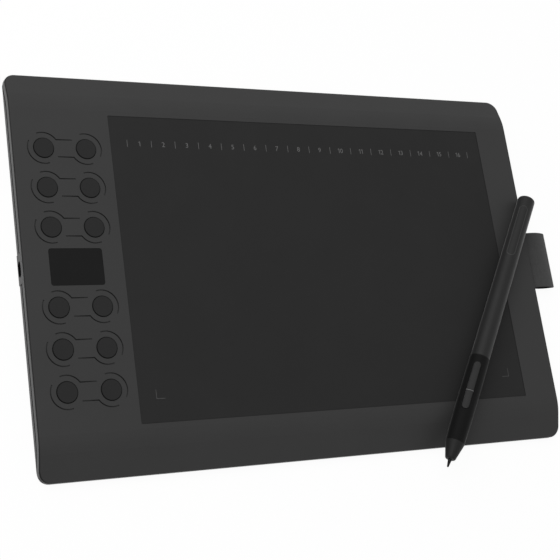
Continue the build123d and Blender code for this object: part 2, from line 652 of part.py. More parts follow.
board_chips.part.label = "board_chips"
export_step(board_chips.part, "parts/board_chips.step")

# Twelve key switches on the main board
with BuildPart() as key_switches:
    with BuildSketch(Plane.XY.offset(BOARD_TOP)):
        with Locations(*KEY_POINTS):
            Rectangle(SWITCH_SIDE, SWITCH_SIDE)
    extrude(amount=SWITCH_HEIGHT)
    with BuildSketch(Plane.XY.offset(BOARD_TOP + SWITCH_HEIGHT)):
        with Locations(*KEY_POINTS):
            Rectangle(PLUNGER_SIDE, PLUNGER_SIDE)
    extrude(amount=PLUNGER_HEIGHT)

key_switches.part.label = "key_switches"
export_step(key_switches.part, "parts/key_switches.step")

# Socket in the port: oval metal shell with its tongue
with BuildPart() as usb_socket:
    with BuildSketch(Plane.YZ.offset(SOCKET_MOUTH)):
        with Locations((PORT_Y, PORT_HEIGHT)):
            SlotOverall(SOCKET_LENGTH, SOCKET_HEIGHT)
    extrude(amount=SOCKET_DEPTH)
    with BuildSketch(Plane.YZ.offset(SOCKET_MOUTH)):
        with Locations((PORT_Y, PORT_HEIGHT)):
            SlotOverall(SOCKET_LENGTH - 2 * SOCKET_SHELL, SOCKET_HEIGHT - 2 * SOCKET_SHELL)
    extrude(amount=SOCKET_BORE_DEPTH, mode=Mode.SUBTRACT)
    with BuildSketch(Plane.YZ.offset(SOCKET_MOUTH + SOCKET_BORE_DEPTH)):
        with Locations((PORT_Y, PORT_HEIGHT)):
            Rectangle(TONGUE_LENGTH, TONGUE_HEIGHT)
    extrude(amount=-TONGUE_REACH)

usb_socket.part.label = "usb_socket"
export_step(usb_socket.part, "parts/usb_socket.step")

# Ribbon cable, from the main board up to the sensor board, with its connectors
with BuildPart() as main_connector:
    with BuildSketch(Plane.XY.offset(BOARD_TOP)):
        with Locations((MAIN_CONNECTOR_X, RIBBON_Y)):
            Rectangle(CONNECTOR_DEPTH, RIBBON_WIDTH + CONNECTOR_EXTRA)
    extrude(amount=MAIN_CONNECTOR_HEIGHT)

main_connector.part.label = "main_connector"
export_step(main_connector.part, "parts/main_connector.step")

with BuildPart() as sensor_connector:
    with BuildSketch(Plane.XY.offset(SENSOR_UNDERSIDE)):
        with Locations((SENSOR_CONNECTOR_X, RIBBON_Y)):
            Rectangle(CONNECTOR_DEPTH, RIBBON_WIDTH + CONNECTOR_EXTRA)
    extrude(amount=-SENSOR_CONNECTOR_HEIGHT)

sensor_connector.part.label = "sensor_connector"
export_step(sensor_connector.part, "parts/sensor_connector.step")

with BuildPart() as ribbon_cable:
    with BuildSketch(Plane.XZ.offset(-RIBBON_Y)):
        with BuildLine():
            FilletPolyline(
                (RIBBON_START, RIBBON_LOW),
                (RIBBON_START + RIBBON_LEAD, RIBBON_LOW),
                (RIBBON_STOP - RIBBON_LEAD, RIBBON_HIGH),
                (RIBBON_STOP, RIBBON_HIGH),
                radius=RIBBON_BEND,
            )
        trace(line_width=RIBBON_THICKNESS)
    extrude(amount=RIBBON_WIDTH / 2, both=True)

ribbon_cable.part.label = "ribbon_cable"
export_step(ribbon_cable.part, "parts/ribbon_cable.step")

# Pen loop: a woven band folded double, its tails pressed flat inside the case
with BuildPart() as pen_loop:
    with BuildSketch(Plane.XZ.offset(-LOOP_Y)):
        with BuildLine():
            Line((LOOP_TAIL_END, LOOP_HEIGHT + LOOP_BAND), (HALF_LENGTH, LOOP_HEIGHT + LOOP_BAND))
            ThreePointArc(
                (HALF_LENGTH, LOOP_HEIGHT + LOOP_BAND),
                (LOOP_MIDDLE, LOOP_HEIGHT + LOOP_OPEN_HALF + LOOP_BAND),
                (LOOP_FOLD, LOOP_HEIGHT + LOOP_BAND),
            )
            ThreePointArc(
                (LOOP_FOLD, LOOP_HEIGHT + LOOP_BAND),
                (LOOP_FOLD + LOOP_BAND, LOOP_HEIGHT),
                (LOOP_FOLD, LOOP_HEIGHT - LOOP_BAND),
            )
            ThreePointArc(
                (LOOP_FOLD, LOOP_HEIGHT - LOOP_BAND),
                (LOOP_MIDDLE, LOOP_HEIGHT - LOOP_OPEN_HALF - LOOP_BAND),
                (HALF_LENGTH, LOOP_HEIGHT - LOOP_BAND),
            )
            Line((HALF_LENGTH, LOOP_HEIGHT - LOOP_BAND), (LOOP_TAIL_END, LOOP_HEIGHT - LOOP_BAND))
            Line(
                (LOOP_TAIL_END, LOOP_HEIGHT - LOOP_BAND), (LOOP_TAIL_END, LOOP_HEIGHT + LOOP_BAND)
            )
        make_face()
        with BuildLine():
            ThreePointArc(
                (LOOP_ROOT, LOOP_HEIGHT),
                (LOOP_MIDDLE, LOOP_HEIGHT + LOOP_OPEN_HALF),
                (LOOP_FOLD, LOOP_HEIGHT),
            )
            ThreePointArc(
                (LOOP_FOLD, LOOP_HEIGHT),
                (LOOP_MIDDLE, LOOP_HEIGHT - LOOP_OPEN_HALF),
                (LOOP_ROOT, LOOP_HEIGHT),
            )
        make_face(mode=Mode.SUBTRACT)
    extrude(amount=LOOP_WIDTH / 2, both=True)
    with BuildSketch(Plane.XY.offset(LOOP_HEIGHT - LOOP_BAND)):
        with Locations(*LOOP_SCREW_POINTS):
            screw_hole(LOOP_SCREW_RADIUS)
    extrude(amount=2 * LOOP_BAND, mode=Mode.SUBTRACT)

pen_loop.part.label = "pen_loop"
export_step(pen_loop.part, "parts/pen_loop.step")

with BuildPart() as loop_clamp:
    with BuildSketch(Plane.XY.offset(LOOP_HEIGHT + LOOP_BAND)):
        with Locations((CLAMP_X, LOOP_Y)):
            Rectangle(CLAMP_DEPTH, LOOP_WIDTH)
    extrude(amount=CLAMP_THICKNESS)
    with BuildSketch(Plane.XY.offset(LOOP_HEIGHT + LOOP_BAND)):
        with Locations(*LOOP_SCREW_POINTS):
            screw_hole(LOOP_SCREW_RADIUS)
    extrude(amount=CLAMP_THICKNESS, mode=Mode.SUBTRACT)
    with BuildSketch(Plane.XY.offset(LOOP_SCREW_SEAT)):
        with Locations(*LOOP_SCREW_POINTS):
            Circle(LOOP_SCREW_HEAD_RADIUS + SCREW_FIT)
    extrude(amount=LOOP_SCREW_HEAD, mode=Mode.SUBTRACT)

loop_clamp.part.label = "loop_clamp"
export_step(loop_clamp.part, "parts/loop_clamp.step")

# Screws: each group is one node of separate screws
with BuildPart() as loop_screws:
    with BuildSketch(Plane.XY.offset(LOOP_SCREW_SEAT)):
        with Locations(*LOOP_SCREW_POINTS):
            Circle(LOOP_SCREW_HEAD_RADIUS)
    extrude(amount=LOOP_SCREW_HEAD)
    with BuildSketch(Plane.XY.offset(LOOP_SCREW_SEAT)):
        with Locations(*LOOP_SCREW_POINTS):
            RegularPolygon(LOOP_SCREW_RADIUS, HIDDEN_SIDES)
    extrude(amount=LOOP_SCREW_TIP - LOOP_SCREW_SEAT)

loop_screws.part.label = "loop_screws"
export_step(loop_screws.part, "parts/loop_screws.step")

with BuildPart() as board_screws:
    with BuildSketch(Plane.XY.offset(BOARD_TOP)):
        with Locations(*BOARD_HOLES):
            RegularPolygon(BOARD_SCREW_HEAD_RADIUS, HIDDEN_SIDES)
    extrude(amount=BOARD_SCREW_HEAD)
    with BuildSketch(Plane.XY.offset(BOARD_TOP)):
        with Locations(*BOARD_HOLES):
            RegularPolygon(BOARD_SCREW_RADIUS, HIDDEN_SIDES)
    extrude(amount=-BOARD_SCREW_LENGTH)

board_screws.part.label = "board_screws"
export_step(board_screws.part, "parts/board_screws.step")

with BuildPart() as case_screws:
    with BuildSketch(Plane.XY.offset(CASE_SCREW_SUNK)):
        with Locations(*CASE_SCREW_POINTS):
            Circle(CASE_SCREW_HEAD_RADIUS)
    extrude(amount=CASE_SCREW_HEAD)
    with BuildSketch(Plane.XY.offset(CASE_SCREW_SUNK + CASE_SCREW_HEAD)):
        with Locations(*CASE_SCREW_POINTS):
            RegularPolygon(CASE_SCREW_RADIUS, HIDDEN_SIDES)
    extrude(amount=CASE_SCREW_LENGTH)

case_screws.part.label = "case_screws"
export_step(case_screws.part, "parts/case_screws.step")

# Rubber feet, glued into their pockets
with BuildPart() as rubber_feet:
    with BuildSketch(Plane.XY.offset(-FOOT_PROUD)):
        with Locations(*FOOT_POINTS):
            SlotOverall(FOOT_LENGTH, FOOT_WIDTH)
    extrude(amount=FOOT_PROUD + FOOT_POCKET)
    chamfer(faces().group_by(Axis.Z)[0].edges(), FOOT_CHAMFER)

rubber_feet.part.label = "rubber_feet"
export_step(rubber_feet.part, "parts/rubber_feet.step")

# Express keys: a round cap through the roof, on a square flange that keeps it in
for number, point in enumerate(KEY_POINTS, 1):
    with BuildPart() as key:
        with BuildSketch(Plane.XY.offset(FLANGE_TOP)):
            with Locations(point):
                Circle(KEY_RADIUS)
        extrude(amount=CASE_THICKNESS + KEY_PROUD - FLANGE_TOP)
        chamfer(edges().group_by(Axis.Z)[-1], KEY_CHAMFER)
        with BuildSketch(Plane.XY.offset(FLANGE_TOP)):
            with Locations(point):
                Rectangle(2 * (KEY_RADIUS + FLANGE_OVERLAP), 2 * (KEY_RADIUS + FLANGE_OVERLAP))
        extrude(amount=-FLANGE_THICKNESS)
        with BuildSketch(Plane.XY.offset(FLANGE_TOP - FLANGE_THICKNESS)):
            with Locations(point):
                Rectangle(2 * STEM_RADIUS, 2 * STEM_RADIUS)
        extrude(amount=STEM_BOTTOM - FLANGE_TOP + FLANGE_THICKNESS)
    key.part.label = f"key_{number}"
    export_step(key.part, f"parts/key_{number}.step")

# Pen: lies on the flat top, its buttons turned up and to the left
pen_along = Vector(cos(radians(PEN_HEADING)), sin(radians(PEN_HEADING)), 0)
pen_left = Vector(-sin(radians(PEN_HEADING)), cos(radians(PEN_HEADING)), 0)
pen_up = Vector(0, 0, 1) * cos(radians(BUTTON_TILT)) + pen_left * sin(radians(BUTTON_TILT))
pen_tip = Vector(PEN_TIP[0], PEN_TIP[1], CASE_THICKNESS + PEN_REST_GAP + GRIP_RADIUS)
pen_axis = Axis(pen_tip, pen_along)
pen_profile = Plane(origin=pen_tip, x_dir=pen_along, z_dir=pen_along.cross(pen_up))
pen_flat = Plane(origin=pen_tip, x_dir=pen_along, z_dir=pen_up)


def pen_section(distance):
    """Plane square to the pen at a distance from its tip, with the buttons' side up."""
    return Plane(
        origin=pen_tip + pen_along * distance, x_dir=pen_up.cross(pen_along), z_dir=pen_along
    )


def pen_cylinder(start, end, radius):
    """Solid cylinder on the pen's axis between two distances from its tip."""
    with BuildPart() as cylinder:
        with BuildSketch(pen_section(start)):
            Circle(radius)
        extrude(amount=end - start)
    return cylinder.part


# The opening for the buttons goes through the grip and the barrel's neck
with BuildPart() as button_window:
    with BuildSketch(pen_flat):
        with Locations((BUTTONS_MIDDLE, 0)):
            SlotOverall(BUTTONS_LENGTH + 2 * BUTTON_FIT, BUTTON_WIDTH + 2 * BUTTON_FIT)
    extrude(amount=2 * GRIP_RADIUS)

# A thin bridge of the neck parts the two buttons and stands as proud as they do
with BuildPart() as button_divider:
    with BuildSketch(pen_flat.offset(DIVIDER_SEAT)):
        with Locations((DIVIDER_PLACE, 0)):
            Rectangle(DIVIDER_THICKNESS, BUTTON_WIDTH + 2 * BUTTON_FIT)
    extrude(amount=GRIP_RADIUS)
    add(pen_cylinder(CONE_END, GRIP_END, GRIP_RADIUS + BUTTON_PROUD), mode=Mode.INTERSECT)

# Engraved outline of the bare label place near the rear end
with BuildPart() as label_outline:
    with BuildSketch(pen_flat):
        with Locations(((LABEL_SPAN[0] + LABEL_SPAN[1]) / 2, 0)):
            SlotOverall(LABEL_SPAN[1] - LABEL_SPAN[0], LABEL_WIDTH)
            SlotOverall(
                LABEL_SPAN[1] - LABEL_SPAN[0] - 2 * LABEL_LINE,
                LABEL_WIDTH - 2 * LABEL_LINE,
                mode=Mode.SUBTRACT,
            )
    extrude(amount=2 * PEN_RADIUS)
    with BuildSketch(pen_profile):
        Polygon(
            (GRIP_END, 0),
            (GRIP_END, PEN_RADIUS - LABEL_DEPTH),
            (PEN_LENGTH, PEN_TAIL_RADIUS - LABEL_DEPTH),
            (PEN_LENGTH, 0),
            align=None,
        )
    revolve(axis=pen_axis, mode=Mode.SUBTRACT)

with BuildPart() as pen_barrel:
    with BuildSketch(pen_profile):
        with BuildLine():
            Polyline(
                (CONE_END, PEN_BORE_RADIUS),
                (CONE_END, NECK_RADIUS),
                (GRIP_END, NECK_RADIUS),
                (GRIP_END, PEN_RADIUS),
                (PEN_LENGTH, PEN_TAIL_RADIUS),
                (PEN_LENGTH, 0),
                (PEN_BORE_END, 0),
                (PEN_BORE_END, PEN_BORE_RADIUS),
                close=True,
            )
        make_face()
        fillet(vertices().group_by(Axis.X)[-1].sort_by(Axis.Y)[-1], PEN_TAIL_ROUND)
    revolve(axis=pen_axis)
    add(button_window.part, mode=Mode.SUBTRACT)
    add(button_divider.part)
    add(label_outline.part, mode=Mode.SUBTRACT)

pen_barrel.part.label = "pen_barrel"
export_step(pen_barrel.part, "parts/pen_barrel.step")

# Soft grip sleeve over the barrel's neck, fullest halfway along
with BuildPart() as pen_grip:
    with BuildSketch(pen_profile):
        with BuildLine():
            ThreePointArc(
                (CONE_END, CONE_RADIUS),
                ((CONE_END + GRIP_END) / 2, GRIP_RADIUS),
                (GRIP_END, GRIP_REAR_RADIUS),
            )
            Polyline(
                (GRIP_END, GRIP_REAR_RADIUS),
                (GRIP_END, NECK_RADIUS + PEN_FIT),
                (CONE_END, NECK_RADIUS + PEN_FIT),
                (CONE_END, CONE_RADIUS),
            )
        make_face()
    revolve(axis=pen_axis)
    add(button_window.part, mode=Mode.SUBTRACT)

pen_grip.part.label = "pen_grip"
export_step(pen_grip.part, "parts/pen_grip.step")

# Nose cone with a spigot that plugs into the neck
with BuildPart() as pen_nose_cone:
    with BuildSketch(pen_profile):
        with BuildLine():
            Polyline(
                (NIB_REACH, NIB_RADIUS + NIB_BORE_FIT),
                (NIB_REACH, CONE_FACE_RADIUS),
                (CONE_END, CONE_RADIUS),
                (CONE_END, PEN_BORE_RADIUS - PEN_FIT),
                (CONE_END + SPIGOT_LENGTH, PEN_BORE_RADIUS - PEN_FIT),
                (CONE_END + SPIGOT_LENGTH, SPIGOT_BORE),
                (CONE_CAVITY_START, SPIGOT_BORE),
                (CONE_CAVITY_START, NIB_RADIUS + NIB_BORE_FIT),
                close=True,
            )
        make_face()
        fillet(vertices().group_by(Axis.X)[0].sort_by(Axis.Y)[-1], CONE_ROUND)
    revolve(axis=pen_axis)

pen_nose_cone.part.label = "pen_nose_cone"
export_step(pen_nose_cone.part, "parts/pen_nose_cone.step")

# Nib: a thin rod with a round tapered tip, held by its collar at the pressure sensor
with BuildPart() as pen_nib:
    with BuildSketch(pen_profile):
        with BuildLine():
            CenterArc((NIB_TIP_RADIUS, 0), NIB_TIP_RADIUS, 90, 90)
            Polyline(
                (NIB_TIP_RADIUS, NIB_TIP_RADIUS),
                (NIB_TAPER, NIB_RADIUS),
                (NIB_LENGTH, NIB_RADIUS),
                (NIB_LENGTH, 0),
                (0, 0),
            )
        make_face()
    revolve(axis=pen_axis)

pen_nib.part.label = "pen_nib"
export_step(pen_nib.part, "parts/pen_nib.step")

with BuildPart() as nib_holder:
    with BuildSketch(pen_section(HOLDER_START)):
        Circle(HOLDER_RADIUS)
    extrude(amount=HOLDER_END - HOLDER_START)
    with BuildSketch(pen_section(HOLDER_START)):
        Circle(NIB_RADIUS + SCREW_FIT)
    extrude(amount=NIB_LENGTH - HOLDER_START, mode=Mode.SUBTRACT)

nib_holder.part.label = "nib_holder"
export_step(nib_holder.part, "parts/nib_holder.step")

# Ferrite core and the coil wound on it, round the nib
with BuildPart() as ferrite_core:
    with BuildSketch(pen_section(FERRITE_START)):
        Circle(FERRITE_RADIUS)
        Circle(NIB_RADIUS + FERRITE_BORE_FIT, mode=Mode.SUBTRACT)
    extrude(amount=FERRITE_LENGTH)

ferrite_core.part.label = "ferrite_core"
export_step(ferrite_core.part, "parts/ferrite_core.step")

with BuildPart() as pen_coil:
    with BuildSketch(pen_section(FERRITE_START + COIL_MARGIN)):
        Circle(COIL_RADIUS)
        Circle(FERRITE_RADIUS + PEN_FIT, mode=Mode.SUBTRACT)
    extrude(amount=FERRITE_LENGTH - 2 * COIL_MARGIN)

pen_coil.part.label = "pen_coil"
export_step(pen_coil.part, "parts/pen_coil.step")

# Pressure sensor behind the nib holder
with BuildPart() as pressure_sensor:
    with BuildSketch(pen_section(SENSOR_PUCK_START)):
        Circle(SENSOR_PUCK_RADIUS)
    extrude(amount=SENSOR_PUCK_LENGTH)

pressure_sensor.part.label = "pressure_sensor"
export_step(pressure_sensor.part, "parts/pressure_sensor.step")

# Carrier: a half-round cradle for the sensor and the pen board
with BuildPart() as pen_carrier:
    with BuildSketch(pen_section(CARRIER_START)):
        Circle(PEN_BORE_RADIUS - PEN_FIT)
        with Locations((0, CARRIER_FACE + PEN_BORE_RADIUS)):
            Rectangle(2 * PEN_BORE_RADIUS, 2 * PEN_BORE_RADIUS, mode=Mode.SUBTRACT)
    extrude(amount=CARRIER_END - CARRIER_START)
    add(
        pen_cylinder(CARRIER_START, SENSOR_PUCK_START, HOLDER_RADIUS + BUTTON_FIT),
        mode=Mode.SUBTRACT,
    )
    add(
        pen_cylinder(
            SENSOR_PUCK_START, SENSOR_PUCK_START + SENSOR_PUCK_LENGTH, SENSOR_PUCK_RADIUS + PEN_FIT
        ),
        mode=Mode.SUBTRACT,
    )

pen_carrier.part.label = "pen_carrier"
export_step(pen_carrier.part, "parts/pen_carrier.step")

with BuildPart() as pen_board:
    with BuildSketch(pen_flat.offset(CARRIER_FACE)):
        with Locations(((PEN_BOARD_START + PEN_BOARD_END) / 2, 0)):
            Rectangle(PEN_BOARD_END - PEN_BOARD_START, PEN_BOARD_WIDTH)
    extrude(amount=PEN_BOARD_THICKNESS)

pen_board.part.label = "pen_board"
export_step(pen_board.part, "parts/pen_board.step")

with BuildPart() as pen_switches:
    with BuildSketch(pen_flat.offset(PEN_SWITCH_SEAT)):
        with Locations(*PEN_SWITCH_POINTS):
            Rectangle(PEN_SWITCH_SIDE, PEN_SWITCH_SIDE)
    extrude(amount=PEN_SWITCH_HEIGHT)
    with BuildSketch(pen_flat.offset(PEN_SWITCH_SEAT + PEN_SWITCH_HEIGHT)):
        with Locations(*PEN_SWITCH_POINTS):
            Rectangle(PEN_PLUNGER_SIDE, PEN_PLUNGER_SIDE)
    extrude(amount=PEN_PLUNGER_HEIGHT)

pen_switches.part.label = "pen_switches"
export_step(pen_switches.part, "parts/pen_switches.step")

# Side buttons: round outer ends, square where they meet, on a flange inside the neck
for name, (start, end) in (("lower", LOWER_BUTTON_SPAN), ("upper", UPPER_BUTTON_SPAN)):
    with BuildPart() as pen_button:
        with BuildSketch(pen_flat.offset(BUTTON_FLANGE_TOP)):
            with Locations((BUTTONS_MIDDLE, 0)):
                SlotOverall(BUTTONS_LENGTH, BUTTON_WIDTH)
            with Locations(((start + end) / 2, 0)):
                Rectangle(end - start, BUTTON_WIDTH, mode=Mode.INTERSECT)
        extrude(amount=GRIP_RADIUS)
        add(
            pen_cylinder(CONE_END, GRIP_END, GRIP_RADIUS + BUTTON_PROUD),
            mode=Mode.INTERSECT,
        )
        with BuildSketch(pen_flat.offset(BUTTON_FLANGE_TOP)):
            with Locations(((start + end) / 2, 0)):
                Rectangle(end - start, BUTTON_WIDTH + 2 * BUTTON_FLANGE)
        extrude(amount=-BUTTON_FLANGE_THICKNESS)
        with BuildSketch(pen_flat.offset(BUTTON_FLANGE_TOP - BUTTON_FLANGE_THICKNESS)):
            with Locations(((start + end) / 2, 0)):
                Rectangle(PEN_SWITCH_SIDE, PEN_SWITCH_SIDE)
        extrude(amount=BUTTON_STEM_BOTTOM - BUTTON_FLANGE_TOP + BUTTON_FLANGE_THICKNESS)
    pen_button.part.label = f"pen_button_{name}"
    export_step(pen_button.part, f"parts/pen_button_{name}.step")
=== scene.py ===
import json

import bpy
import numpy as np
from mathutils import Matrix, Vector


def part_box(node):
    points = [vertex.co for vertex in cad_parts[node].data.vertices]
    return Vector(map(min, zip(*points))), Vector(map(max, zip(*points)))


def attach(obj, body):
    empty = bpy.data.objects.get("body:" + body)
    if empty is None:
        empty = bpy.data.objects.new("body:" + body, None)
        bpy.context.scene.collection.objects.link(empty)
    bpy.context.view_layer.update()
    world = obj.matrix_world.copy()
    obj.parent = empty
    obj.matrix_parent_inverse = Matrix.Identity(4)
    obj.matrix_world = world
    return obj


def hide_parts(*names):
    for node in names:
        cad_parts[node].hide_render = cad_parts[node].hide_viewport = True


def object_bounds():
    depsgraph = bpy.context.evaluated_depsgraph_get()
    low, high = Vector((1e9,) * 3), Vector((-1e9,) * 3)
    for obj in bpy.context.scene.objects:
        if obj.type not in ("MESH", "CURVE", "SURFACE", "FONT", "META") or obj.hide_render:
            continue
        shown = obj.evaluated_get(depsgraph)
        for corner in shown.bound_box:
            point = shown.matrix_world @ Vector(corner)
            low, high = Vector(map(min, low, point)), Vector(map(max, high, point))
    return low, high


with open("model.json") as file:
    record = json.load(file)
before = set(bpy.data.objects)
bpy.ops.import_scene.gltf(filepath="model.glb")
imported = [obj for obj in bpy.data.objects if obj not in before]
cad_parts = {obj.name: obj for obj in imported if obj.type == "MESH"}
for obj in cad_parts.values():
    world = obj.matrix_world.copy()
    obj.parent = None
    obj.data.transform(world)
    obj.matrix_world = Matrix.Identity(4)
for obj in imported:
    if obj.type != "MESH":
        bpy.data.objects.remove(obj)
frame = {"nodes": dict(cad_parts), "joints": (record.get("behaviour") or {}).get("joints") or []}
cad_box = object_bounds()
nodes = frame["nodes"]


# Camera: stands 0.68 m up, off the tablet's front left corner, and looks down across it. It is
# rolled to its side, so that the tablet leans to the right in the picture, as in the photograph.
camera_place = Vector((-0.389983, -0.185765, 0.679027))
camera_right = Vector((0.8907425, -0.1337637, 0.4343789))
camera_back = Vector((-0.4545045, -0.2582505, 0.8524860))
camera_lens = 81.03
camera_shift = (0.0493, -0.0736)

camera_data = bpy.data.cameras.new("camera")
camera_data.sensor_width = 36.0
camera_data.lens = camera_lens
camera_data.shift_x, camera_data.shift_y = camera_shift
camera_data.clip_start = 0.01
camera = bpy.data.objects.new("camera", camera_data)
turn = Matrix((camera_right, camera_back.cross(camera_right), camera_back)).transposed()
camera.matrix_world = Matrix.Translation(camera_place) @ turn.to_4x4()
bpy.context.scene.collection.objects.link(camera)
bpy.context.scene.camera = camera


# Case: two moulded shells of dark plastic with a satin coat, held by screws from below. The mould
# leaves faint clouds of lighter and darker plastic, and a grain of a fifth of a millimetre.

# Its finish. The pairs say how far sideways the skin faces where the rounded edge over the short
# walls begins and ends, and where such a wall begins.
cloud_size = 0.03
cloud_tone = 1.5
patch_size = 0.008
patch_gloss = 0.03
edge_begins = (0.1, 0.25)
edge_ends = (0.8, 0.9)
# The rounded edge is painted dark as shade: this share of the way to this level.
rim_shade_share = 0.8
rim_shade_level = 14
wall_begins = (0.9, 0.95)
wall_roughness = 0.4

# Its engraved lines, rings round the keys and bars between them, and the key holes: painted dark
# as shade, fading out towards the lines' ends.
ring_radius = 0.0097
ring_margin = 0.001
ring_ends = np.radians((-28, 108, -68))
bar_reach = 0.0178
bar_half = 0.0054
run_out_length = 0.009
sunk_depth = (0.0002, 0.00003)
case_margin = 0.004

# Its seam, which follows the crown of the top shell, and the mouth round the port, both painted
# dark as shade.
crown_middle = 0.001
crown_flat = 0.097
crown_radius = 0.034
crown_bend = 0.0104
crown_slope = 0.3057
seam_depth = 0.005
seam_edge = 0.0011
seam_blur = 0.0001
looks_up = (0.4, 0.5)
mouth_radius = 0.0027
mouth_drop = 0.0004
mouth_blur = 0.0002

case_end, _, case_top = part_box("top_shell")[1]
sheet_edge = -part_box("work_sheet")[0].y
mouth_low, mouth_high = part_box("usb_socket")
mouth_middle = (mouth_low + mouth_high) / 2 - Vector((0, 0, mouth_drop))
mouth_straight = (mouth_high.y - mouth_low.y) / 2 - mouth_radius


def key_middle(number):
    """Middle of an express key: halfway between the low and high corners of its box."""
    low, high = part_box("key_%d" % number)
    return (low + high) / 2


keys_middle = (key_middle(1) + key_middle(12)) / 2
column_half = (key_middle(2) - key_middle(1)).x / 2
row_pitch = (key_middle(1) - key_middle(3)).y
first_row = (key_middle(5) - keys_middle).y

# Ends of the engraved lines round the right key of a row, seen from the row's middle, where their
# painted shade fades out.
line_ends = [
    (column_half + ring_radius * np.cos(angle), ring_radius * np.sin(angle), 0)
    for angle in ring_ends
]
line_ends += [(side * (bar_reach - column_half), side * bar_half, 0) for side in (1, -1)]


def grey(level):
    """A neutral colour from a level of 0 to 255 as a picture shows it, made linear."""
    part = level / 255
    linear = part / 12.92 if part <= 0.04045 else ((part + 0.055) / 1.055) ** 2.4
    return (linear, linear, linear, 1.0)


def blank_finish(name):
    """A material with only its shader, and the node tree to add the finish to."""
    material = bpy.data.materials.new(name)
    material.use_nodes = True
    tree = material.node_tree
    return material, tree, tree.nodes["Principled BSDF"]


def place_on(tree):
    """The point on the piece, in metres, that a pattern follows."""
    return tree.nodes.new("ShaderNodeTexCoord").outputs["Object"]


def facing_on(tree):
    """The direction in which the piece's skin faces at that point."""
    return tree.nodes.new("ShaderNodeTexCoord").outputs["Normal"]


def clouds(tree, point, size, detail=2.0):
    """Soft noise whose spots are about this size in metres, from 0 to 1."""
    noise = tree.nodes.new("ShaderNodeTexNoise")
    noise.inputs["Scale"].default_value = 1 / size
    noise.inputs["Detail"].default_value = detail
    tree.links.new(point, noise.inputs["Vector"])
    return noise.outputs["Fac"]


def ramp(tree, value, start, end, low=0.0, high=1.0):
    """A number that goes from low to high as the value goes from start to end."""
    spread = tree.nodes.new("ShaderNodeMapRange")
    spread.inputs["From Min"].default_value = start
    spread.inputs["From Max"].default_value = end
    spread.inputs["To Min"].default_value = low
    spread.inputs["To Max"].default_value = high
    tree.links.new(value, spread.inputs["Value"])
    return spread.outputs["Result"]


def between(tree, noise, low, high):
    """A number that goes from low to high as a noise goes through its middle range."""
    return ramp(tree, noise, 0.3, 0.7, low, high)


def reckon(tree, kind, *values):
    """One step of arithmetic on numbers and sockets."""
    step = tree.nodes.new("ShaderNodeMath")
    step.operation = kind
    for socket, value in zip(step.inputs, values):
        if isinstance(value, (int, float)):
            socket.default_value = value
        else:
            tree.links.new(value, socket)
    return step.outputs["Value"]


def sides(tree, vector):
    """The X, Y and Z parts of a vector."""
    split = tree.nodes.new("ShaderNodeSeparateXYZ")
    tree.links.new(vector, split.inputs["Vector"])
    return split.outputs["X"], split.outputs["Y"], split.outputs["Z"]


def tint(tree, amount, dark, light):
    """A colour that goes from dark to light with the amount."""
    mix = tree.nodes.new("ShaderNodeMix")
    mix.data_type = "RGBA"
    mix.inputs["A"].default_value = dark
    mix.inputs["B"].default_value = light
    tree.links.new(amount, mix.inputs["Factor"])
    return mix.outputs["Result"]


def painted_over(tree, under, share, colour):
    """A second colour laid over what is there, as far as the share goes."""
    mix = tree.nodes.new("ShaderNodeMix")
    mix.data_type = "RGBA"
    mix.inputs["B"].default_value = colour
    tree.links.new(under, mix.inputs["A"])
    tree.links.new(share, mix.inputs["Factor"])
    return mix.outputs["Result"]


def relief(tree, height, depth):
    """Bumps of this depth in metres, from a height of 0 to 1."""
    bump = tree.nodes.new("ShaderNodeBump")
    bump.inputs["Strength"].default_value = 1.0
    bump.inputs["Distance"].default_value = depth
    tree.links.new(height, bump.inputs["Height"])
    return bump.outputs["Normal"]


def moulded(name, level, rough, shine, grain=0.0002, depth=0.000006):
    """Moulded plastic or rubber: clouds in its colour, patches in its gloss, and a grain."""
    material, tree, shader = blank_finish(name)
    point = place_on(tree)
    tone = tint(
        tree, clouds(tree, point, cloud_size), grey(level - cloud_tone), grey(level + cloud_tone)
    )
    tree.links.new(tone, shader.inputs["Base Color"])
    patch = clouds(tree, point, patch_size)
    gloss = between(tree, patch, rough - patch_gloss, rough + patch_gloss)
    tree.links.new(gloss, shader.inputs["Roughness"])
    tree.links.new(relief(tree, clouds(tree, point, grain), depth), shader.inputs["Normal"])
    shader.inputs["Specular IOR Level"].default_value = shine
    return material


def dress(material, *names):
    """Gives the solids with these names their finish."""
    for name in names:
        nodes[name].material_slots[0].material = material


def coated_case(name, level, shine, coat_weight, recess_shade_level, recess_shade_share):
    """Satin coat, glossier on the short side walls. A line of painted shade lies on the rounded
    edge over them, and painted shade in a dark grey, with no coat, lies where the given share is
    1."""
    material = moulded(name, level, rough=0.45, shine=shine)
    tree = material.node_tree
    shader = tree.nodes["Principled BSDF"]
    sideways = reckon(tree, "ABSOLUTE", sides(tree, facing_on(tree))[0])
    # Share of painted shade: a dark grey with no coat, in the recesses.
    shade_mask = recess_shade_share(tree)
    smooth = ramp(tree, sideways, *wall_begins, 0.0, coat_weight)
    smooth = reckon(tree, "MULTIPLY", smooth, reckon(tree, "SUBTRACT", 1.0, shade_mask))
    tree.links.new(smooth, shader.inputs["Coat Weight"])
    shader.inputs["Coat Roughness"].default_value = wall_roughness
    before_wall = ramp(tree, sideways, *edge_ends, 1.0, 0.0)
    rounded = reckon(tree, "MULTIPLY", ramp(tree, sideways, *edge_begins), before_wall)
    coat = shader.inputs["Base Color"].links[0].from_socket
    # A line of painted shade on the rounded edge over the walls.
    painted_rim_line = reckon(tree, "MULTIPLY", rounded, rim_shade_share)
    coat = painted_over(tree, coat, painted_rim_line, grey(rim_shade_level))
    coat = painted_over(tree, coat, shade_mask, grey(recess_shade_level))
    tree.links.new(coat, shader.inputs["Base Color"])
    return material


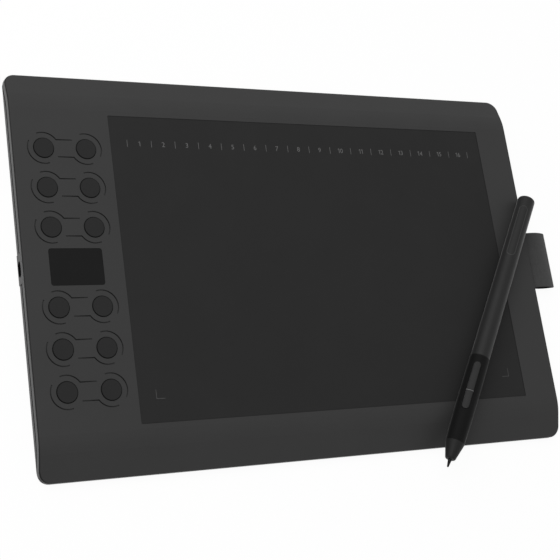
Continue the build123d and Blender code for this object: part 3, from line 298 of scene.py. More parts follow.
def run_out(tree, along, across):
    """Rises from 0 at an engraved line's end to 1 along the line, and is 1 at the key holes: the
    share of painted shade. All rows of keys are laid over one row, and half a turn lays its left
    key over the right."""
    beside = reckon(tree, "SUBTRACT", along, keys_middle.x)
    beyond = reckon(tree, "SUBTRACT", across, keys_middle.y)
    row = reckon(tree, "SUBTRACT", reckon(tree, "ABSOLUTE", beyond), first_row)
    row = reckon(tree, "WRAP", row, row_pitch / 2, -row_pitch / 2)
    row = reckon(tree, "MULTIPLY", row, reckon(tree, "SIGN", beyond))
    row = reckon(tree, "MULTIPLY", row, reckon(tree, "SIGN", beside))
    place = tree.nodes.new("ShaderNodeCombineXYZ")
    tree.links.new(reckon(tree, "ABSOLUTE", beside), place.inputs["X"])
    tree.links.new(row, place.inputs["Y"])

    def away_from(spot):
        """Straight distance from a spot of that one row."""
        measure = tree.nodes.new("ShaderNodeVectorMath")
        measure.operation = "DISTANCE"
        measure.inputs[1].default_value = spot
        tree.links.new(place.outputs["Vector"], measure.inputs[0])
        return measure.outputs["Value"]

    nearest = away_from(line_ends[0])
    for end in line_ends[1:]:
        nearest = reckon(tree, "MINIMUM", nearest, away_from(end))
    from_key = away_from((column_half, 0, 0))
    at_key = reckon(tree, "LESS_THAN", from_key, ring_radius - ring_margin)
    return reckon(tree, "MAXIMUM", ramp(tree, nearest, 0.0, run_out_length), at_key)


def sunk_places(tree):
    """1 where shade is painted: in the engraved lines and the key holes, below the flat top, away
    from the edges.
    """
    along, across, height = sides(tree, place_on(tree))
    inside = reckon(tree, "LESS_THAN", reckon(tree, "ABSOLUTE", along), case_end - case_margin)
    flat = reckon(tree, "LESS_THAN", reckon(tree, "ABSOLUTE", across), sheet_edge)
    deepest, shallowest = sunk_depth
    sunk = ramp(tree, height, case_top - deepest, case_top - shallowest, 1.0, 0.0)
    sunk = reckon(tree, "MULTIPLY", sunk, run_out(tree, along, across))
    return reckon(tree, "MULTIPLY", sunk, reckon(tree, "MULTIPLY", inside, flat))


def port_mouth(tree, along, across, height):
    """1 in an oval of painted shade round the port: within one radius of a level line through its
    middle.
    """
    beside = reckon(tree, "ABSOLUTE", reckon(tree, "SUBTRACT", across, mouth_middle.y))
    beside = reckon(tree, "MAXIMUM", reckon(tree, "SUBTRACT", beside, mouth_straight), 0.0)
    above = reckon(tree, "SUBTRACT", height, mouth_middle.z)
    beside_squared = reckon(tree, "MULTIPLY", beside, beside)
    above_squared = reckon(tree, "MULTIPLY", above, above)
    reach = reckon(tree, "SQRT", reckon(tree, "ADD", beside_squared, above_squared))
    mouth = ramp(tree, reach, mouth_radius - mouth_blur, mouth_radius, 1.0, 0.0)
    return reckon(tree, "MULTIPLY", mouth, reckon(tree, "LESS_THAN", along, 0.0))


def seam_places(tree):
    """1 where shade is painted: where a face of the tray looks up, round the port, and on the
    edge of the wall under the seam, which follows the crown: flat, then a round shoulder, then an
    even slope."""
    along, across, height = sides(tree, place_on(tree))
    run = reckon(tree, "ABSOLUTE", reckon(tree, "SUBTRACT", across, crown_middle))
    run = reckon(tree, "MAXIMUM", reckon(tree, "SUBTRACT", run, crown_flat), 0.0)
    bend = reckon(tree, "MINIMUM", run, crown_bend)
    round_drop = reckon(tree, "DIVIDE", reckon(tree, "MULTIPLY", bend, bend), 2 * crown_radius)
    slope_drop = reckon(tree, "MULTIPLY", reckon(tree, "SUBTRACT", run, bend), crown_slope)
    depth = reckon(tree, "SUBTRACT", case_top - seam_depth, height)
    depth = reckon(tree, "SUBTRACT", depth, reckon(tree, "ADD", round_drop, slope_drop))
    edge = ramp(tree, depth, seam_edge, seam_edge + seam_blur, 1.0, 0.0)
    set_back = reckon(tree, "LESS_THAN", reckon(tree, "ABSOLUTE", along), case_end - seam_blur)
    edge = reckon(tree, "MULTIPLY", edge, set_back)
    edge = reckon(tree, "MAXIMUM", edge, port_mouth(tree, along, across, height))
    upward = ramp(tree, sides(tree, facing_on(tree))[2], *looks_up)
    return reckon(tree, "MAXIMUM", edge, upward)


# Painted shade: the case in its engraved lines and key holes, the tray in its seam and round the
# port.
case_finish = coated_case(
    "satin_case", level=53, shine=0.1, coat_weight=0.35, recess_shade_level=19, recess_shade_share=sunk_places
)
tray_finish = coated_case(
    "satin_tray", level=54, shine=0.0, coat_weight=0.7, recess_shade_level=14, recess_shade_share=seam_places
)
dress(case_finish, "top_shell")
dress(tray_finish, "bottom_shell")


# Work sheet: a thin panel of hard plastic, cut to size and glued into a shallow recess of the top
# shell. Its skin is embossed as fine as paper, so that the nib meets a little drag.
sheet_plastic = moulded(
    "paper_skin", level=39, rough=0.6, shine=0.06, grain=0.00012, depth=0.000008
)
dress(sheet_plastic, "work_sheet")


# Marks on the sheet: grey ink, screen-printed two hundredths of a millimetre thick. A row of
# ticks and plain numbers runs along the top of the drawing area, and two corner marks stand at
# its bottom.
ink_thickness = 0.00002
ink_spot = 0.0004
area_width = 0.254
tick_count = 17
tick_length = 0.0045
tick_width = 0.0003
row_height = 0.0766
number_height = 0.0031
digit_gap = 0.2
digit_half_thickness = 0.1
flag_overlap = 0.02
flag_reach = 0.22
flag_root = (0.84, 1.0)
flag_tip = (0.74, 0.86)
corner_depth = 0.0802
corner_arm = 0.0055

# The faces of a box, by its corners: the lower four in turn, then the upper four.
box_faces = [(3, 2, 1, 0), (4, 5, 6, 7), (0, 1, 5, 4), (1, 2, 6, 5), (2, 3, 7, 6), (3, 0, 4, 7)]

sheet_low, sheet_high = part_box("work_sheet")
sheet_middle = (sheet_low + sheet_high) / 2
ink_level = sheet_high.z
tick_pitch = area_width / (tick_count - 1)
tick_x = sheet_middle.x - area_width / 2 + tick_pitch * np.arange(tick_count)
tick_y = np.full(tick_count, sheet_middle.y + row_height)


def printed_ink(name, dark, light):
    """Dull ink, patchy where it took to the grain of the sheet."""
    material, tree, shader = blank_finish(name)
    patch = clouds(tree, place_on(tree), ink_spot)
    tree.links.new(tint(tree, patch, grey(dark), grey(light)), shader.inputs["Base Color"])
    shader.inputs["Roughness"].default_value = 0.6
    return material


def new_piece(name, mesh, material, body):
    """Puts a mesh in the scene with its finish, moving with one body of the frame."""
    mesh.materials.clear()
    mesh.materials.append(material)
    piece = bpy.data.objects.new(name, mesh)
    bpy.context.scene.collection.objects.link(piece)
    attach(piece, body)
    return piece


def bars(name, middles, lengths, widths, bottom, top):
    """One mesh of flat boxes. A box's corners are its middle, plus and minus half its length
    along X and half its width along Y, at the bottom and at the top."""
    middles = np.asarray(middles, float)
    count = len(middles)
    spans = np.stack([np.broadcast_to(lengths, count), np.broadcast_to(widths, count)], 1)
    corners = np.array([[-1, -1], [1, -1], [1, 1], [-1, 1]], float)
    flat = middles[:, None, :] + corners[None] * spans[:, None, :] / 2
    low = np.concatenate([flat, np.full(flat.shape[:2] + (1,), bottom)], 2)
    high = np.concatenate([flat, np.full(flat.shape[:2] + (1,), top)], 2)
    points = np.concatenate([low, high], 1).reshape(-1, 3)
    first_corner = 8 * np.arange(count)[:, None, None]
    faces = (np.array(box_faces)[None] + first_corner).reshape(-1, 4)
    mesh = bpy.data.meshes.new(name)
    mesh.from_pydata(points.tolist(), [], faces.tolist())
    mesh.update()
    return mesh


def digit_mesh(digit):
    """Points, faces and width of a printed digit of height 1, its left foot at the origin. The
    font's 1 is a bare upright, so it gets its slanted flag: a flat bar down from its top."""
    curve = bpy.data.curves.new("digit", "FONT")
    curve.body = digit
    curve.extrude = digit_half_thickness
    curve.resolution_u = 3
    writing = bpy.data.objects.new("digit", curve)
    mesh = bpy.data.meshes.new_from_object(writing)
    points = np.empty(len(mesh.vertices) * 3)
    mesh.vertices.foreach_get("co", points)
    points = points.reshape(-1, 3)
    height = np.ptp(points[:, 1])
    points = (points - points.min(0)) / (height, height, 2 * digit_half_thickness)
    faces = [tuple(face.vertices) for face in mesh.polygons]
    bpy.data.objects.remove(writing)
    if digit == "1":
        flag = np.array([
            (flag_overlap, flag_root[0]), (flag_overlap, flag_root[1]),
            (-flag_reach, flag_tip[1]), (-flag_reach, flag_tip[0]),
        ])
        flag = np.concatenate([np.insert(flag, 2, 0, 1), np.insert(flag, 2, 1, 1)])
        faces += [tuple(corner + len(points) for corner in face) for face in box_faces]
        points = np.concatenate([points, flag])
        points[:, 0] += flag_reach
    return points, faces, np.ptp(points[:, 0])


def number_row():
    """One mesh of the numbers 1 to 16, each in the middle between two ticks: its digits side by
    side, with a gap between them, and moved back by half their length and height."""
    digits = {digit: digit_mesh(digit) for digit in "0123456789"}
    size = (number_height, number_height, ink_thickness)
    all_points = []
    all_faces = []
    count = 0
    for number in range(1, tick_count):
        row = [digits[digit] for digit in str(number)]
        row_length = sum(width for _, _, width in row) + digit_gap * (len(row) - 1)
        along = -row_length / 2
        place_x = tick_x[0] + (number - 0.5) * tick_pitch
        for points, faces, width in row:
            points = (points + (along, -0.5, 0)) * size
            all_points.append(points + (place_x, tick_y[0], ink_level))
            all_faces += [tuple(corner + count for corner in face) for face in faces]
            count += len(points)
            along += width + digit_gap
    mesh = bpy.data.meshes.new("numbers")
    mesh.from_pydata(np.concatenate(all_points).tolist(), [], all_faces)
    return mesh


ink = printed_ink("grey_ink", dark=72, light=86)
tick_mesh = bars(
    "ticks", np.stack([tick_x, tick_y], 1), tick_width, tick_length, ink_level,
    ink_level + ink_thickness,
)
new_piece("printed_ticks", tick_mesh, ink, "tablet")

faint_ink = printed_ink("faint_ink", dark=46, light=56)
corner_y = sheet_middle.y - corner_depth
corner_bars = []
for side in (-1, 1):
    corner_x = sheet_middle.x + side * area_width / 2
    corner_bars.append((corner_x - side * corner_arm / 2, corner_y, corner_arm, tick_width))
    upright_x = corner_x - side * tick_width / 2
    upright_y = corner_y + corner_arm / 2
    corner_bars.append((upright_x, upright_y, tick_width, corner_arm - tick_width))
corner_bars = np.array(corner_bars)
corner_mesh = bars(
    "corners", corner_bars[:, :2], corner_bars[:, 2], corner_bars[:, 3], ink_level,
    ink_level + ink_thickness,
)
new_piece("printed_corners", corner_mesh, faint_ink, "tablet")

new_piece("printed_numbers", number_row(), ink, "tablet")


# Express keys: round caps moulded of a darker plastic than the case, each held in its hole by a
# flange underneath. The edge round the top is painted darker as shade.
key_count = 12
key_shade_turn = (0.8, 0.95)
key_edge_shade_level = 10


def rubbed_cap():
    """Key plastic with painted shade where its skin turns away from the top."""
    material = moulded(
        "key_plastic", level=36, rough=0.5, shine=0.08, grain=0.00015, depth=0.000004
    )
    tree = material.node_tree
    shader = tree.nodes["Principled BSDF"]
    turned = ramp(tree, sides(tree, facing_on(tree))[2], *key_shade_turn, 1.0, 0.0)
    coat = shader.inputs["Base Color"].links[0].from_socket
    # Painted shade on the key's edge.
    coat = painted_over(tree, coat, turned, grey(key_edge_shade_level))
    tree.links.new(coat, shader.inputs["Base Color"])
    return material


dress(rubbed_cap(), *["key_%d" % number for number in range(1, key_count + 1)])


# Badge plate: a moulded plate of near-black plastic with rounded corners, left bare. It is half
# polished and glued into a recess between two rows of keys.
badge_plastic = moulded(
    "badge_plastic", level=25, rough=0.32, shine=0.05, grain=0.0005, depth=0.000001
)
dress(badge_plastic, "badge_plate")


# Port: an oval shell of blackened steel round a black tongue with gold contacts on both its
# sides, set into the side wall. Fine lines from the drawing of the steel run along its depth.
tongue_length = 0.0047
tongue_half_width = 0.0034
tongue_half_height = 0.0004
tongue_back = 0.0062
contact_count = 12
contact_pitch = 0.0005
contact_width = 0.00026
contact_length = 0.0038
contact_thickness = 0.00003
contact_before_back = 0.0023
steel_line = 0.0003
steel_line_depth = 0.000003
steel_tone = (-12, 8)
steel_gloss = (-0.06, 0.08)
gold_spot = 0.0002
deep_gold = (0.80, 0.55, 0.18, 1)
pale_gold = (0.90, 0.66, 0.26, 1)

port_low, port_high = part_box("usb_socket")
port_middle = (port_low + port_high) / 2


def steel(name, level, rough, stretch):
    """Plated steel with fine lines drawn out along one axis by the stretch."""
    material, tree, shader = blank_finish(name)
    mapping = tree.nodes.new("ShaderNodeMapping")
    mapping.inputs["Scale"].default_value = stretch
    tree.links.new(place_on(tree), mapping.inputs["Vector"])
    line = clouds(tree, mapping.outputs["Vector"], steel_line, detail=3.0)
    tone = tint(tree, line, *[grey(level + change) for change in steel_tone])
    tree.links.new(tone, shader.inputs["Base Color"])
    gloss = between(tree, line, *[rough + change for change in steel_gloss])
    tree.links.new(gloss, shader.inputs["Roughness"])
    tree.links.new(relief(tree, line, steel_line_depth), shader.inputs["Normal"])
    shader.inputs["Metallic"].default_value = 1.0
    return material


def contact_gold():
    """Gold plating whose colour goes softly from a deeper to a paler yellow."""
    material, tree, shader = blank_finish("contact_gold")
    plating = tint(tree, clouds(tree, place_on(tree), gold_spot), deep_gold, pale_gold)
    tree.links.new(plating, shader.inputs["Base Color"])
    shader.inputs["Metallic"].default_value = 1.0
    shader.inputs["Roughness"].default_value = 0.3
    return material


dress(steel("blackened_steel", level=26, rough=0.4, stretch=(0.1, 1.0, 1.0)), "usb_socket")

tongue_x = port_low.x + tongue_back - tongue_length / 2
tongue = bars(
    "tongue", [(tongue_x, port_middle.y)], tongue_length, 2 * tongue_half_width,
    port_middle.z - tongue_half_height, port_middle.z + tongue_half_height,
)
tongue_plastic = moulded("tongue_plastic", level=24, rough=0.5, shine=0.3)
new_piece("socket_tongue", tongue, tongue_plastic, "tablet")

gold = contact_gold()
contact_y = port_middle.y + contact_pitch * (np.arange(contact_count) - (contact_count - 1) / 2)
contact_x = np.full(contact_count, port_low.x + tongue_back - contact_before_back)
contact_spots = np.stack([contact_x, contact_y], 1)
for side, name in ((1, "upper"), (-1, "lower")):
    skin = port_middle.z + side * tongue_half_height
    bottom, top = sorted((skin, skin + side * contact_thickness))
    contacts = bars("contacts", contact_spots, contact_length, contact_width, bottom, top)
    new_piece(f"socket_contacts_{name}", contacts, gold, "tablet")


# Boards: pressed layers of glass cloth and resin, with fine lines of copper on them under green
# lacquer. Two lie in the case, the main one held by screws, and one on the pen's carrier.
track_scale = 160.0
track_edge = 0.04
track_depth = 0.00002
lacquer_patch = 0.004
lacquer_gloss = (0.22, 0.32)
bare_lacquer = (0.010, 0.075, 0.034, 1)
copper_lacquer = (0.014, 0.090, 0.040, 1)
line_lacquer = (0.022, 0.125, 0.055, 1)


def lacquered_board():
    """Green lacquer whose tone changes where copper lies under it in blocks and lines."""
    material, tree, shader = blank_finish("board_lacquer")
    point = place_on(tree)
    tracks = tree.nodes.new("ShaderNodeTexBrick")
    tracks.inputs["Scale"].default_value = track_scale
    tracks.inputs["Mortar Size"].default_value = track_edge
    tracks.inputs["Color1"].default_value = bare_lacquer
    tracks.inputs["Color2"].default_value = copper_lacquer
    tracks.inputs["Mortar"].default_value = line_lacquer
    tree.links.new(point, tracks.inputs["Vector"])
    tree.links.new(tracks.outputs["Color"], shader.inputs["Base Color"])
    tree.links.new(relief(tree, tracks.outputs["Fac"], track_depth), shader.inputs["Normal"])
    gloss = between(tree, clouds(tree, point, lacquer_patch), *lacquer_gloss)
    tree.links.new(gloss, shader.inputs["Roughness"])
    return material


dress(lacquered_board(), "sensor_board", "main_board", "pen_board")


# Small parts: chips, switches and the pen's pressure sensor in black moulded plastic, and the
# ribbon cable's connectors in cream nylon. They are soldered down, and the sensor lies on the
# carrier.
chip_plastic = moulded(
    "chip_plastic", level=34, rough=0.55, shine=0.3, grain=0.0001, depth=0.00001
)
connector_nylon = moulded("connector_nylon", level=214, rough=0.5, shine=0.4)
dress(chip_plastic, "board_chips", "key_switches", "pen_switches", "pressure_sensor")
dress(connector_nylon, "main_connector", "sensor_connector")


# Ribbon cable: flat copper tracks a millimetre apart, laid side by side between two layers of
# amber film. Its ends are pushed into the connectors of the two boards.
track_bands = 314.0
track_height = 0.00003
film_over_gap = (0.32, 0.13, 0.03, 1)
film_over_track = (0.62, 0.30, 0.10, 1)


def track_film():
    """Amber film with evenly spaced copper tracks that run along X under it."""
    material, tree, shader = blank_finish("ribbon_film")
    tracks = tree.nodes.new("ShaderNodeTexWave")
    tracks.wave_type = "BANDS"
    tracks.bands_direction = "Y"
    tracks.inputs["Scale"].default_value = track_bands
    tree.links.new(place_on(tree), tracks.inputs["Vector"])
    film = tint(tree, tracks.outputs["Fac"], film_over_gap, film_over_track)
    tree.links.new(film, shader.inputs["Base Color"])
    tree.links.new(relief(tree, tracks.outputs["Fac"], track_height), shader.inputs["Normal"])
    shader.inputs["Roughness"].default_value = 0.25
    return material


dress(track_film(), "ribbon_cable")


# Foam pad and shield plate: a sheet of grey closed-cell foam on a rolled aluminium sheet, glued
# together under the sensor board. The foam bears the board up, and the metal keeps noise out.
cell_size = 0.0004
cell_depth = 0.00012
cell_level = 62
cell_wall_level = 84


def cell_foam():
    """Foam whose cells are small dents with thin walls between them."""
    material, tree, shader = blank_finish("cell_foam")
    cells = tree.nodes.new("ShaderNodeTexVoronoi")
    cells.inputs["Scale"].default_value = 1 / cell_size
    tree.links.new(place_on(tree), cells.inputs["Vector"])
    wall = cells.outputs["Distance"]
    foam = tint(tree, wall, grey(cell_level), grey(cell_wall_level))
    tree.links.new(foam, shader.inputs["Base Color"])
    tree.links.new(relief(tree, wall, cell_depth), shader.inputs["Normal"])
    shader.inputs["Roughness"].default_value = 0.9
    return material


dress(cell_foam(), "foam_pad")
rolled_aluminium = steel("rolled_aluminium", level=205, rough=0.35, stretch=(0.05, 1.0, 1.0))
dress(rolled_aluminium, "shield_plate")


# Screws and clamp bar: cold-headed steel screws and a pressed steel bar, dull from their zinc
# plating. The screws hold case, board and bar, and the bar holds the tails of the pen loop.
screw_pitch = 0.112
screw_row = 0.106
cross_length = 0.0022
cross_width = 0.0005
cross_shade_level = 18


def cross_recess_steel():
    """Plated steel with a dark cross painted on each head as the shade of a cross recess. The
    heads stand in two rows along the case, each row at one distance from its middle and the heads
    evenly apart."""
    material = steel("screw_steel", level=120, rough=0.4, stretch=(1.0, 1.0, 1.0))
    tree = material.node_tree
    shader = tree.nodes["Principled BSDF"]
    along, across, _ = sides(tree, place_on(tree))
    beside = reckon(tree, "ADD", along, screw_pitch / 2)
    beside = reckon(tree, "PINGPONG", beside, screw_pitch / 2)
    beyond = reckon(tree, "SUBTRACT", reckon(tree, "ABSOLUTE", across), screw_row)
    beyond = reckon(tree, "ABSOLUTE", beyond)
    narrow = reckon(tree, "LESS_THAN", reckon(tree, "MINIMUM", beside, beyond), cross_width / 2)
    near = reckon(tree, "LESS_THAN", reckon(tree, "MAXIMUM", beside, beyond), cross_length / 2)
    cross = reckon(tree, "MULTIPLY", narrow, near)
    coat = shader.inputs["Base Color"].links[0].from_socket
    # Painted shade of the cross recess.
    coat = painted_over(tree, coat, cross, grey(cross_shade_level))
    tree.links.new(coat, shader.inputs["Base Color"])
    return material


plated_steel = steel("plated_steel", level=150, rough=0.4, stretch=(1.0, 1.0, 1.0))
clamp_steel = steel("clamp_steel", level=170, rough=0.35, stretch=(1.0, 0.08, 1.0))
dress(cross_recess_steel(), "case_screws")
dress(plated_steel, "board_screws", "loop_screws")
dress(clamp_steel, "loop_clamp")


# Feet: pads of soft black rubber, moulded with a coarse skin that doesn't slide on a desk, and
# glued into shallow pockets under the tray.
foot_rubber = moulded(
    "foot_rubber", level=30, rough=0.75, shine=0.15, grain=0.0004, depth=0.00002
)
dress(foot_rubber, "rubber_feet")


# Pen loop: elastic webbing, woven in ribs along its length and folded double. Its tails go
# through the slot in the side wall and are pressed flat under the clamp bar.
band_thickness = 0.0008
tail_length = 0.0106
bulge = 0.0024
rib_count = 30
rib_depth = 0.00006
rib_points = 6
path_steps = 96
tail_steps = 12
arc_steps = 60
fold_steps = 12
easing_rounds = 3
edge_steps = 8
pick_length = 0.7
pick_slant = 4.0
yarn_depth = 0.00006
yarn_level = 46
worn_level = 70
inside_shade_level = 8
wear_size = 0.003
least_worn = 0.7
millimetres = 1000

loop_low, loop_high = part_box("pen_loop")
loop_width = loop_high.y - loop_low.y
loop_middle_y = (loop_low.y + loop_high.y) / 2
loop_middle_z = (loop_low.z + loop_high.z) / 2
root_x = loop_low.x + tail_length
fold_x = loop_high.x - band_thickness


def band_path():
    """Middle line of the band in X and Z: along the tail, out over an arc to the fold, and back.
    The fold is a half circle, and the corners at its ends are eased by averaging."""
    half = band_thickness / 2
    tail_x = np.linspace(loop_low.x, root_x, tail_steps, endpoint=False)
    tail = np.stack([tail_x, np.full_like(tail_x, half)], 1)
    share = np.linspace(0, 1, arc_steps, endpoint=False)
    arc_x = root_x + share * (fold_x - root_x)
    arc_z = half + bulge * 4 * share * (1 - share)
    arc = np.stack([arc_x, arc_z], 1)
    angle = np.linspace(np.pi / 2, 0, fold_steps)
    fold = np.stack([fold_x + half * np.cos(angle), half * np.sin(angle)], 1)
    upper = np.concatenate([tail, arc, fold])
    line = np.concatenate([upper, (upper * (1, -1))[-2::-1]])
    for _ in range(easing_rounds):
        line[1:-1] = (line[:-2] + 2 * line[1:-1] + line[2:]) / 4
    run = np.concatenate([[0], np.cumsum(np.linalg.norm(np.diff(line, axis=0), axis=1))])
    even = np.linspace(0, run[-1], path_steps)
    path = np.stack([np.interp(even, run, line[:, 0]), np.interp(even, run, line[:, 1])], 1)
    return path, run[-1]


def band_section():
    """Outline of the band across its width: ribbed faces, joined by half-round edges. Each rib
    swells and sinks once, as a cosine of the way across."""
    half_width = loop_width / 2
    half = band_thickness / 2
    flat = half_width - half
    across = np.linspace(-flat, flat, rib_count * rib_points + 1)
    wave = np.cos(2 * np.pi * rib_count * (across + flat) / (2 * flat))
    swell = half - rib_depth * (0.5 + 0.5 * wave)
    angle = np.linspace(np.pi / 2, -np.pi / 2, edge_steps + 2)[1:-1]
    edge = np.stack([flat + half * np.cos(angle), (half - rib_depth) * np.sin(angle)], 1)
    top = np.stack([across, swell], 1)
    return np.concatenate([top, edge, top[::-1] * (1, -1), edge[::-1] * (-1, 1)])


def carried(name, path, section):
    """The section carried along the path, square to it, with a flat cap at each end. Its map runs
    along the band and round the section, in millimetres, and the face that looks into the fold is
    marked."""
    step = np.gradient(path, axis=0)
    step /= np.linalg.norm(step, axis=1)[:, None]
    square = np.stack([-step[:, 1], step[:, 0]], 1)
    spread = path[:, None, :] + square[:, None, :] * section[None, :, 1:2]
    side = np.broadcast_to(section[None, :, 0], spread.shape[:2])
    points = [spread[..., 0], loop_middle_y + side, loop_middle_z + spread[..., 1]]
    points = np.stack(points, 2).reshape(-1, 3)
    rows, count = len(path), len(section)
    row = np.arange(rows - 1)[:, None] * count
    here = np.arange(count)[None]
    after = (here + 1) % count
    walls = np.stack([row + here, row + after, row + count + after, row + count + here], 2)
    faces = walls.reshape(-1, 4).tolist()
    faces.append(list(range(count))[::-1])
    faces.append(list(range((rows - 1) * count, rows * count)))
    mesh = bpy.data.meshes.new(name)
    mesh.from_pydata(points.tolist(), [], faces)
    mesh.update()
    along = np.concatenate([[0], np.cumsum(np.linalg.norm(np.diff(path, axis=0), axis=1))])
    weave = [np.repeat(along, count) * millimetres, np.tile(section[:, 0], rows) * millimetres]
    weave = np.stack(weave, 1)
    corners = np.empty(len(mesh.loops), int)
    mesh.loops.foreach_get("vertex_index", corners)
    mesh.uv_layers.new(name="weave").data.foreach_set("uv", weave[corners].ravel())
    inside = np.tile(section[:, 1] < 0, rows).astype(float)
    mesh.attributes.new("inside", "FLOAT", "POINT").data.foreach_set("value", inside)
    mesh.polygons.foreach_set("use_smooth", [True] * len(mesh.polygons))
    return mesh


def woven_elastic():
    """Dark yarn in slanting picks: stripes on the band's own map, turned about 24 degrees, that
    change side from rib to rib, over soft clouds of wear. The face that looks into the fold is
    painted near-black as shade."""
    material, tree, shader = blank_finish("woven_elastic")
    weave = tree.nodes.new("ShaderNodeUVMap")
    weave.uv_map = "weave"
    along, across, _ = sides(tree, weave.outputs["UV"])
    zigzag = reckon(tree, "PINGPONG", across, loop_width * millimetres / rib_count)
    picks = reckon(tree, "MULTIPLY", along, 2 * np.pi / pick_length)
    slant = reckon(tree, "ADD", picks, reckon(tree, "MULTIPLY", zigzag, pick_slant))
    pick = ramp(tree, reckon(tree, "SINE", slant), -1.0, 1.0)
    wear = between(tree, clouds(tree, place_on(tree), wear_size), least_worn, 1.0)
    worn = reckon(tree, "MULTIPLY", pick, wear)
    yarn = tint(tree, worn, grey(yarn_level), grey(worn_level))
    # The face that looks into the fold gets painted shade, near-black.
    shade_mask = tree.nodes.new("ShaderNodeAttribute")
    shade_mask.attribute_name = "inside"
    yarn = painted_over(tree, yarn, shade_mask.outputs["Fac"], grey(inside_shade_level))
    tree.links.new(yarn, shader.inputs["Base Color"])
    tree.links.new(relief(tree, worn, yarn_depth), shader.inputs["Normal"])
    shader.inputs["Roughness"].default_value = 0.85
    shader.inputs["Specular IOR Level"].default_value = 0.2
    shader.inputs["Sheen Weight"].default_value = 0.1
    return material


loop_path, loop_length = band_path()
loop_mesh = carried("elastic_loop", loop_path, band_section())
loop = new_piece("elastic_loop", loop_mesh, woven_elastic(), "tablet")
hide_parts("pen_loop")


# Pen body: a long satin barrel and a nose cone of the same plastic. The bed of the side buttons
# is dark, and the bridge between them stands up from it and carries a painted highlight. A thin
# outline cut near the rear end shows the lighter plastic under the skin.
coil_from_tip = 0.01975
skin_from_tip = (0.0785, 0.2)
skin_radius = (0.0063, 0.00602)
skin_depth = (0.00012, 0.00014)
cut_depth = (0.00014, 0.00017)
cut_level = 70
grip_margin = 0.001
bed_level = 20
bridge_top = 0.0064
bridge_blur = 0.0001
bridge_highlight_level = 90
cone_from_tip = (0.0072, 0.0168)
cone_slope = 0.26
velvet_roughness = 0.35

nib_joint = next(joint for joint in frame["joints"] if joint["child"] == "nib")
pen_along = Vector(nib_joint["axis"])
coil_low, coil_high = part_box("pen_coil")
coil_middle = (coil_low + coil_high) / 2


def place_in_pen(tree):
    """How far a point is from the tip along the pen, how far it is from the pen's middle line,
    and the direction away from that line."""

    def step(kind, vector, other=(0, 0, 0)):
        """One step of arithmetic on a vector and three numbers."""
        node = tree.nodes.new("ShaderNodeVectorMath")
        node.operation = kind
        node.inputs[1].default_value = other
        tree.links.new(vector, node.inputs[0])
        return node.outputs

    offset = step("SUBTRACT", place_on(tree), coil_middle - coil_from_tip * pen_along)["Vector"]
    along = step("DOT_PRODUCT", offset, pen_along)["Value"]
    across = step("CROSS_PRODUCT", offset, pen_along)["Vector"]
    away = step("CROSS_PRODUCT", across, -pen_along)["Vector"]
    return along, step("LENGTH", across)["Value"], step("NORMALIZE", away)["Vector"]


def shade_round(tree, away, lean, on_skin):
    """Makes the skin shade as a true round, whatever the facets under it: it faces straight away
    from the pen's middle line, leaning along it by the slope of the skin."""
    slope = tree.nodes.new("ShaderNodeVectorMath")
    slope.operation = "ADD"
    slope.inputs[1].default_value = lean * pen_along
    tree.links.new(away, slope.inputs[0])
    mix = tree.nodes.new("ShaderNodeMix")
    mix.data_type = "VECTOR"
    tree.links.new(on_skin, mix.inputs["Factor"])
    tree.links.new(tree.nodes.new("ShaderNodeNewGeometry").outputs["Normal"], mix.inputs["A"])
    tree.links.new(slope.outputs["Vector"], mix.inputs["B"])
    tree.links.new(mix.outputs["Result"], tree.nodes["Bump"].inputs["Normal"])


def soft_touch(material, sheen):
    """Adds the velvety coat of such pens, which catches light along their sides."""
    shader = material.node_tree.nodes["Principled BSDF"]
    shader.inputs["Sheen Weight"].default_value = sheen
    shader.inputs["Sheen Roughness"].default_value = velvet_roughness
    return material


def cut_barrel():
    """Pen plastic that shades as an even taper on its skin. It is light in the cut outline below
    the skin, dark in the bed of the buttons, and has a painted highlight on the bridge that
    stands up from it."""
    material = moulded(
        "barrel_plastic", level=35, rough=0.45, shine=0.1, grain=0.00015, depth=0.000002
    )
    tree = material.node_tree
    shader = tree.nodes["Principled BSDF"]
    along, radius, away = place_in_pen(tree)
    skin = ramp(tree, along, *skin_from_tip, *skin_radius)
    depth = reckon(tree, "SUBTRACT", skin, radius)
    before_end = reckon(tree, "LESS_THAN", along, skin_from_tip[1])
    behind_grip = reckon(tree, "GREATER_THAN", along, skin_from_tip[0])
    under_grip = reckon(tree, "LESS_THAN", along, skin_from_tip[0] - grip_margin)
    on_skin = reckon(tree, "MULTIPLY", ramp(tree, depth, *skin_depth, 1.0, 0.0), before_end)
    shade_round(tree, away, 0.0, reckon(tree, "MULTIPLY", on_skin, behind_grip))
    cut = reckon(tree, "MULTIPLY", ramp(tree, depth, *cut_depth), before_end)
    bridge = ramp(tree, radius, bridge_top, bridge_top + bridge_blur)
    bridge = reckon(tree, "MULTIPLY", bridge, under_grip)
    coat = shader.inputs["Base Color"].links[0].from_socket
    coat = painted_over(tree, coat, reckon(tree, "MULTIPLY", cut, behind_grip), grey(cut_level))
    coat = painted_over(tree, coat, reckon(tree, "MULTIPLY", cut, under_grip), grey(bed_level))
    # Painted highlight on the bridge between the buttons.
    coat = painted_over(tree, coat, bridge, grey(bridge_highlight_level))
    tree.links.new(coat, shader.inputs["Base Color"])
    return material


def nose_cone():
    """Pen plastic that shades as an even cone between the rounded ends of the piece."""
    material = moulded(
        "cone_plastic", level=30, rough=0.5, shine=0.1, grain=0.00015, depth=0.000002
    )
    tree = material.node_tree
    along, _, away = place_in_pen(tree)
    begun = reckon(tree, "GREATER_THAN", along, cone_from_tip[0])
    not_ended = reckon(tree, "LESS_THAN", along, cone_from_tip[1])
    shade_round(tree, away, -cone_slope, reckon(tree, "MULTIPLY", begun, not_ended))
    return material


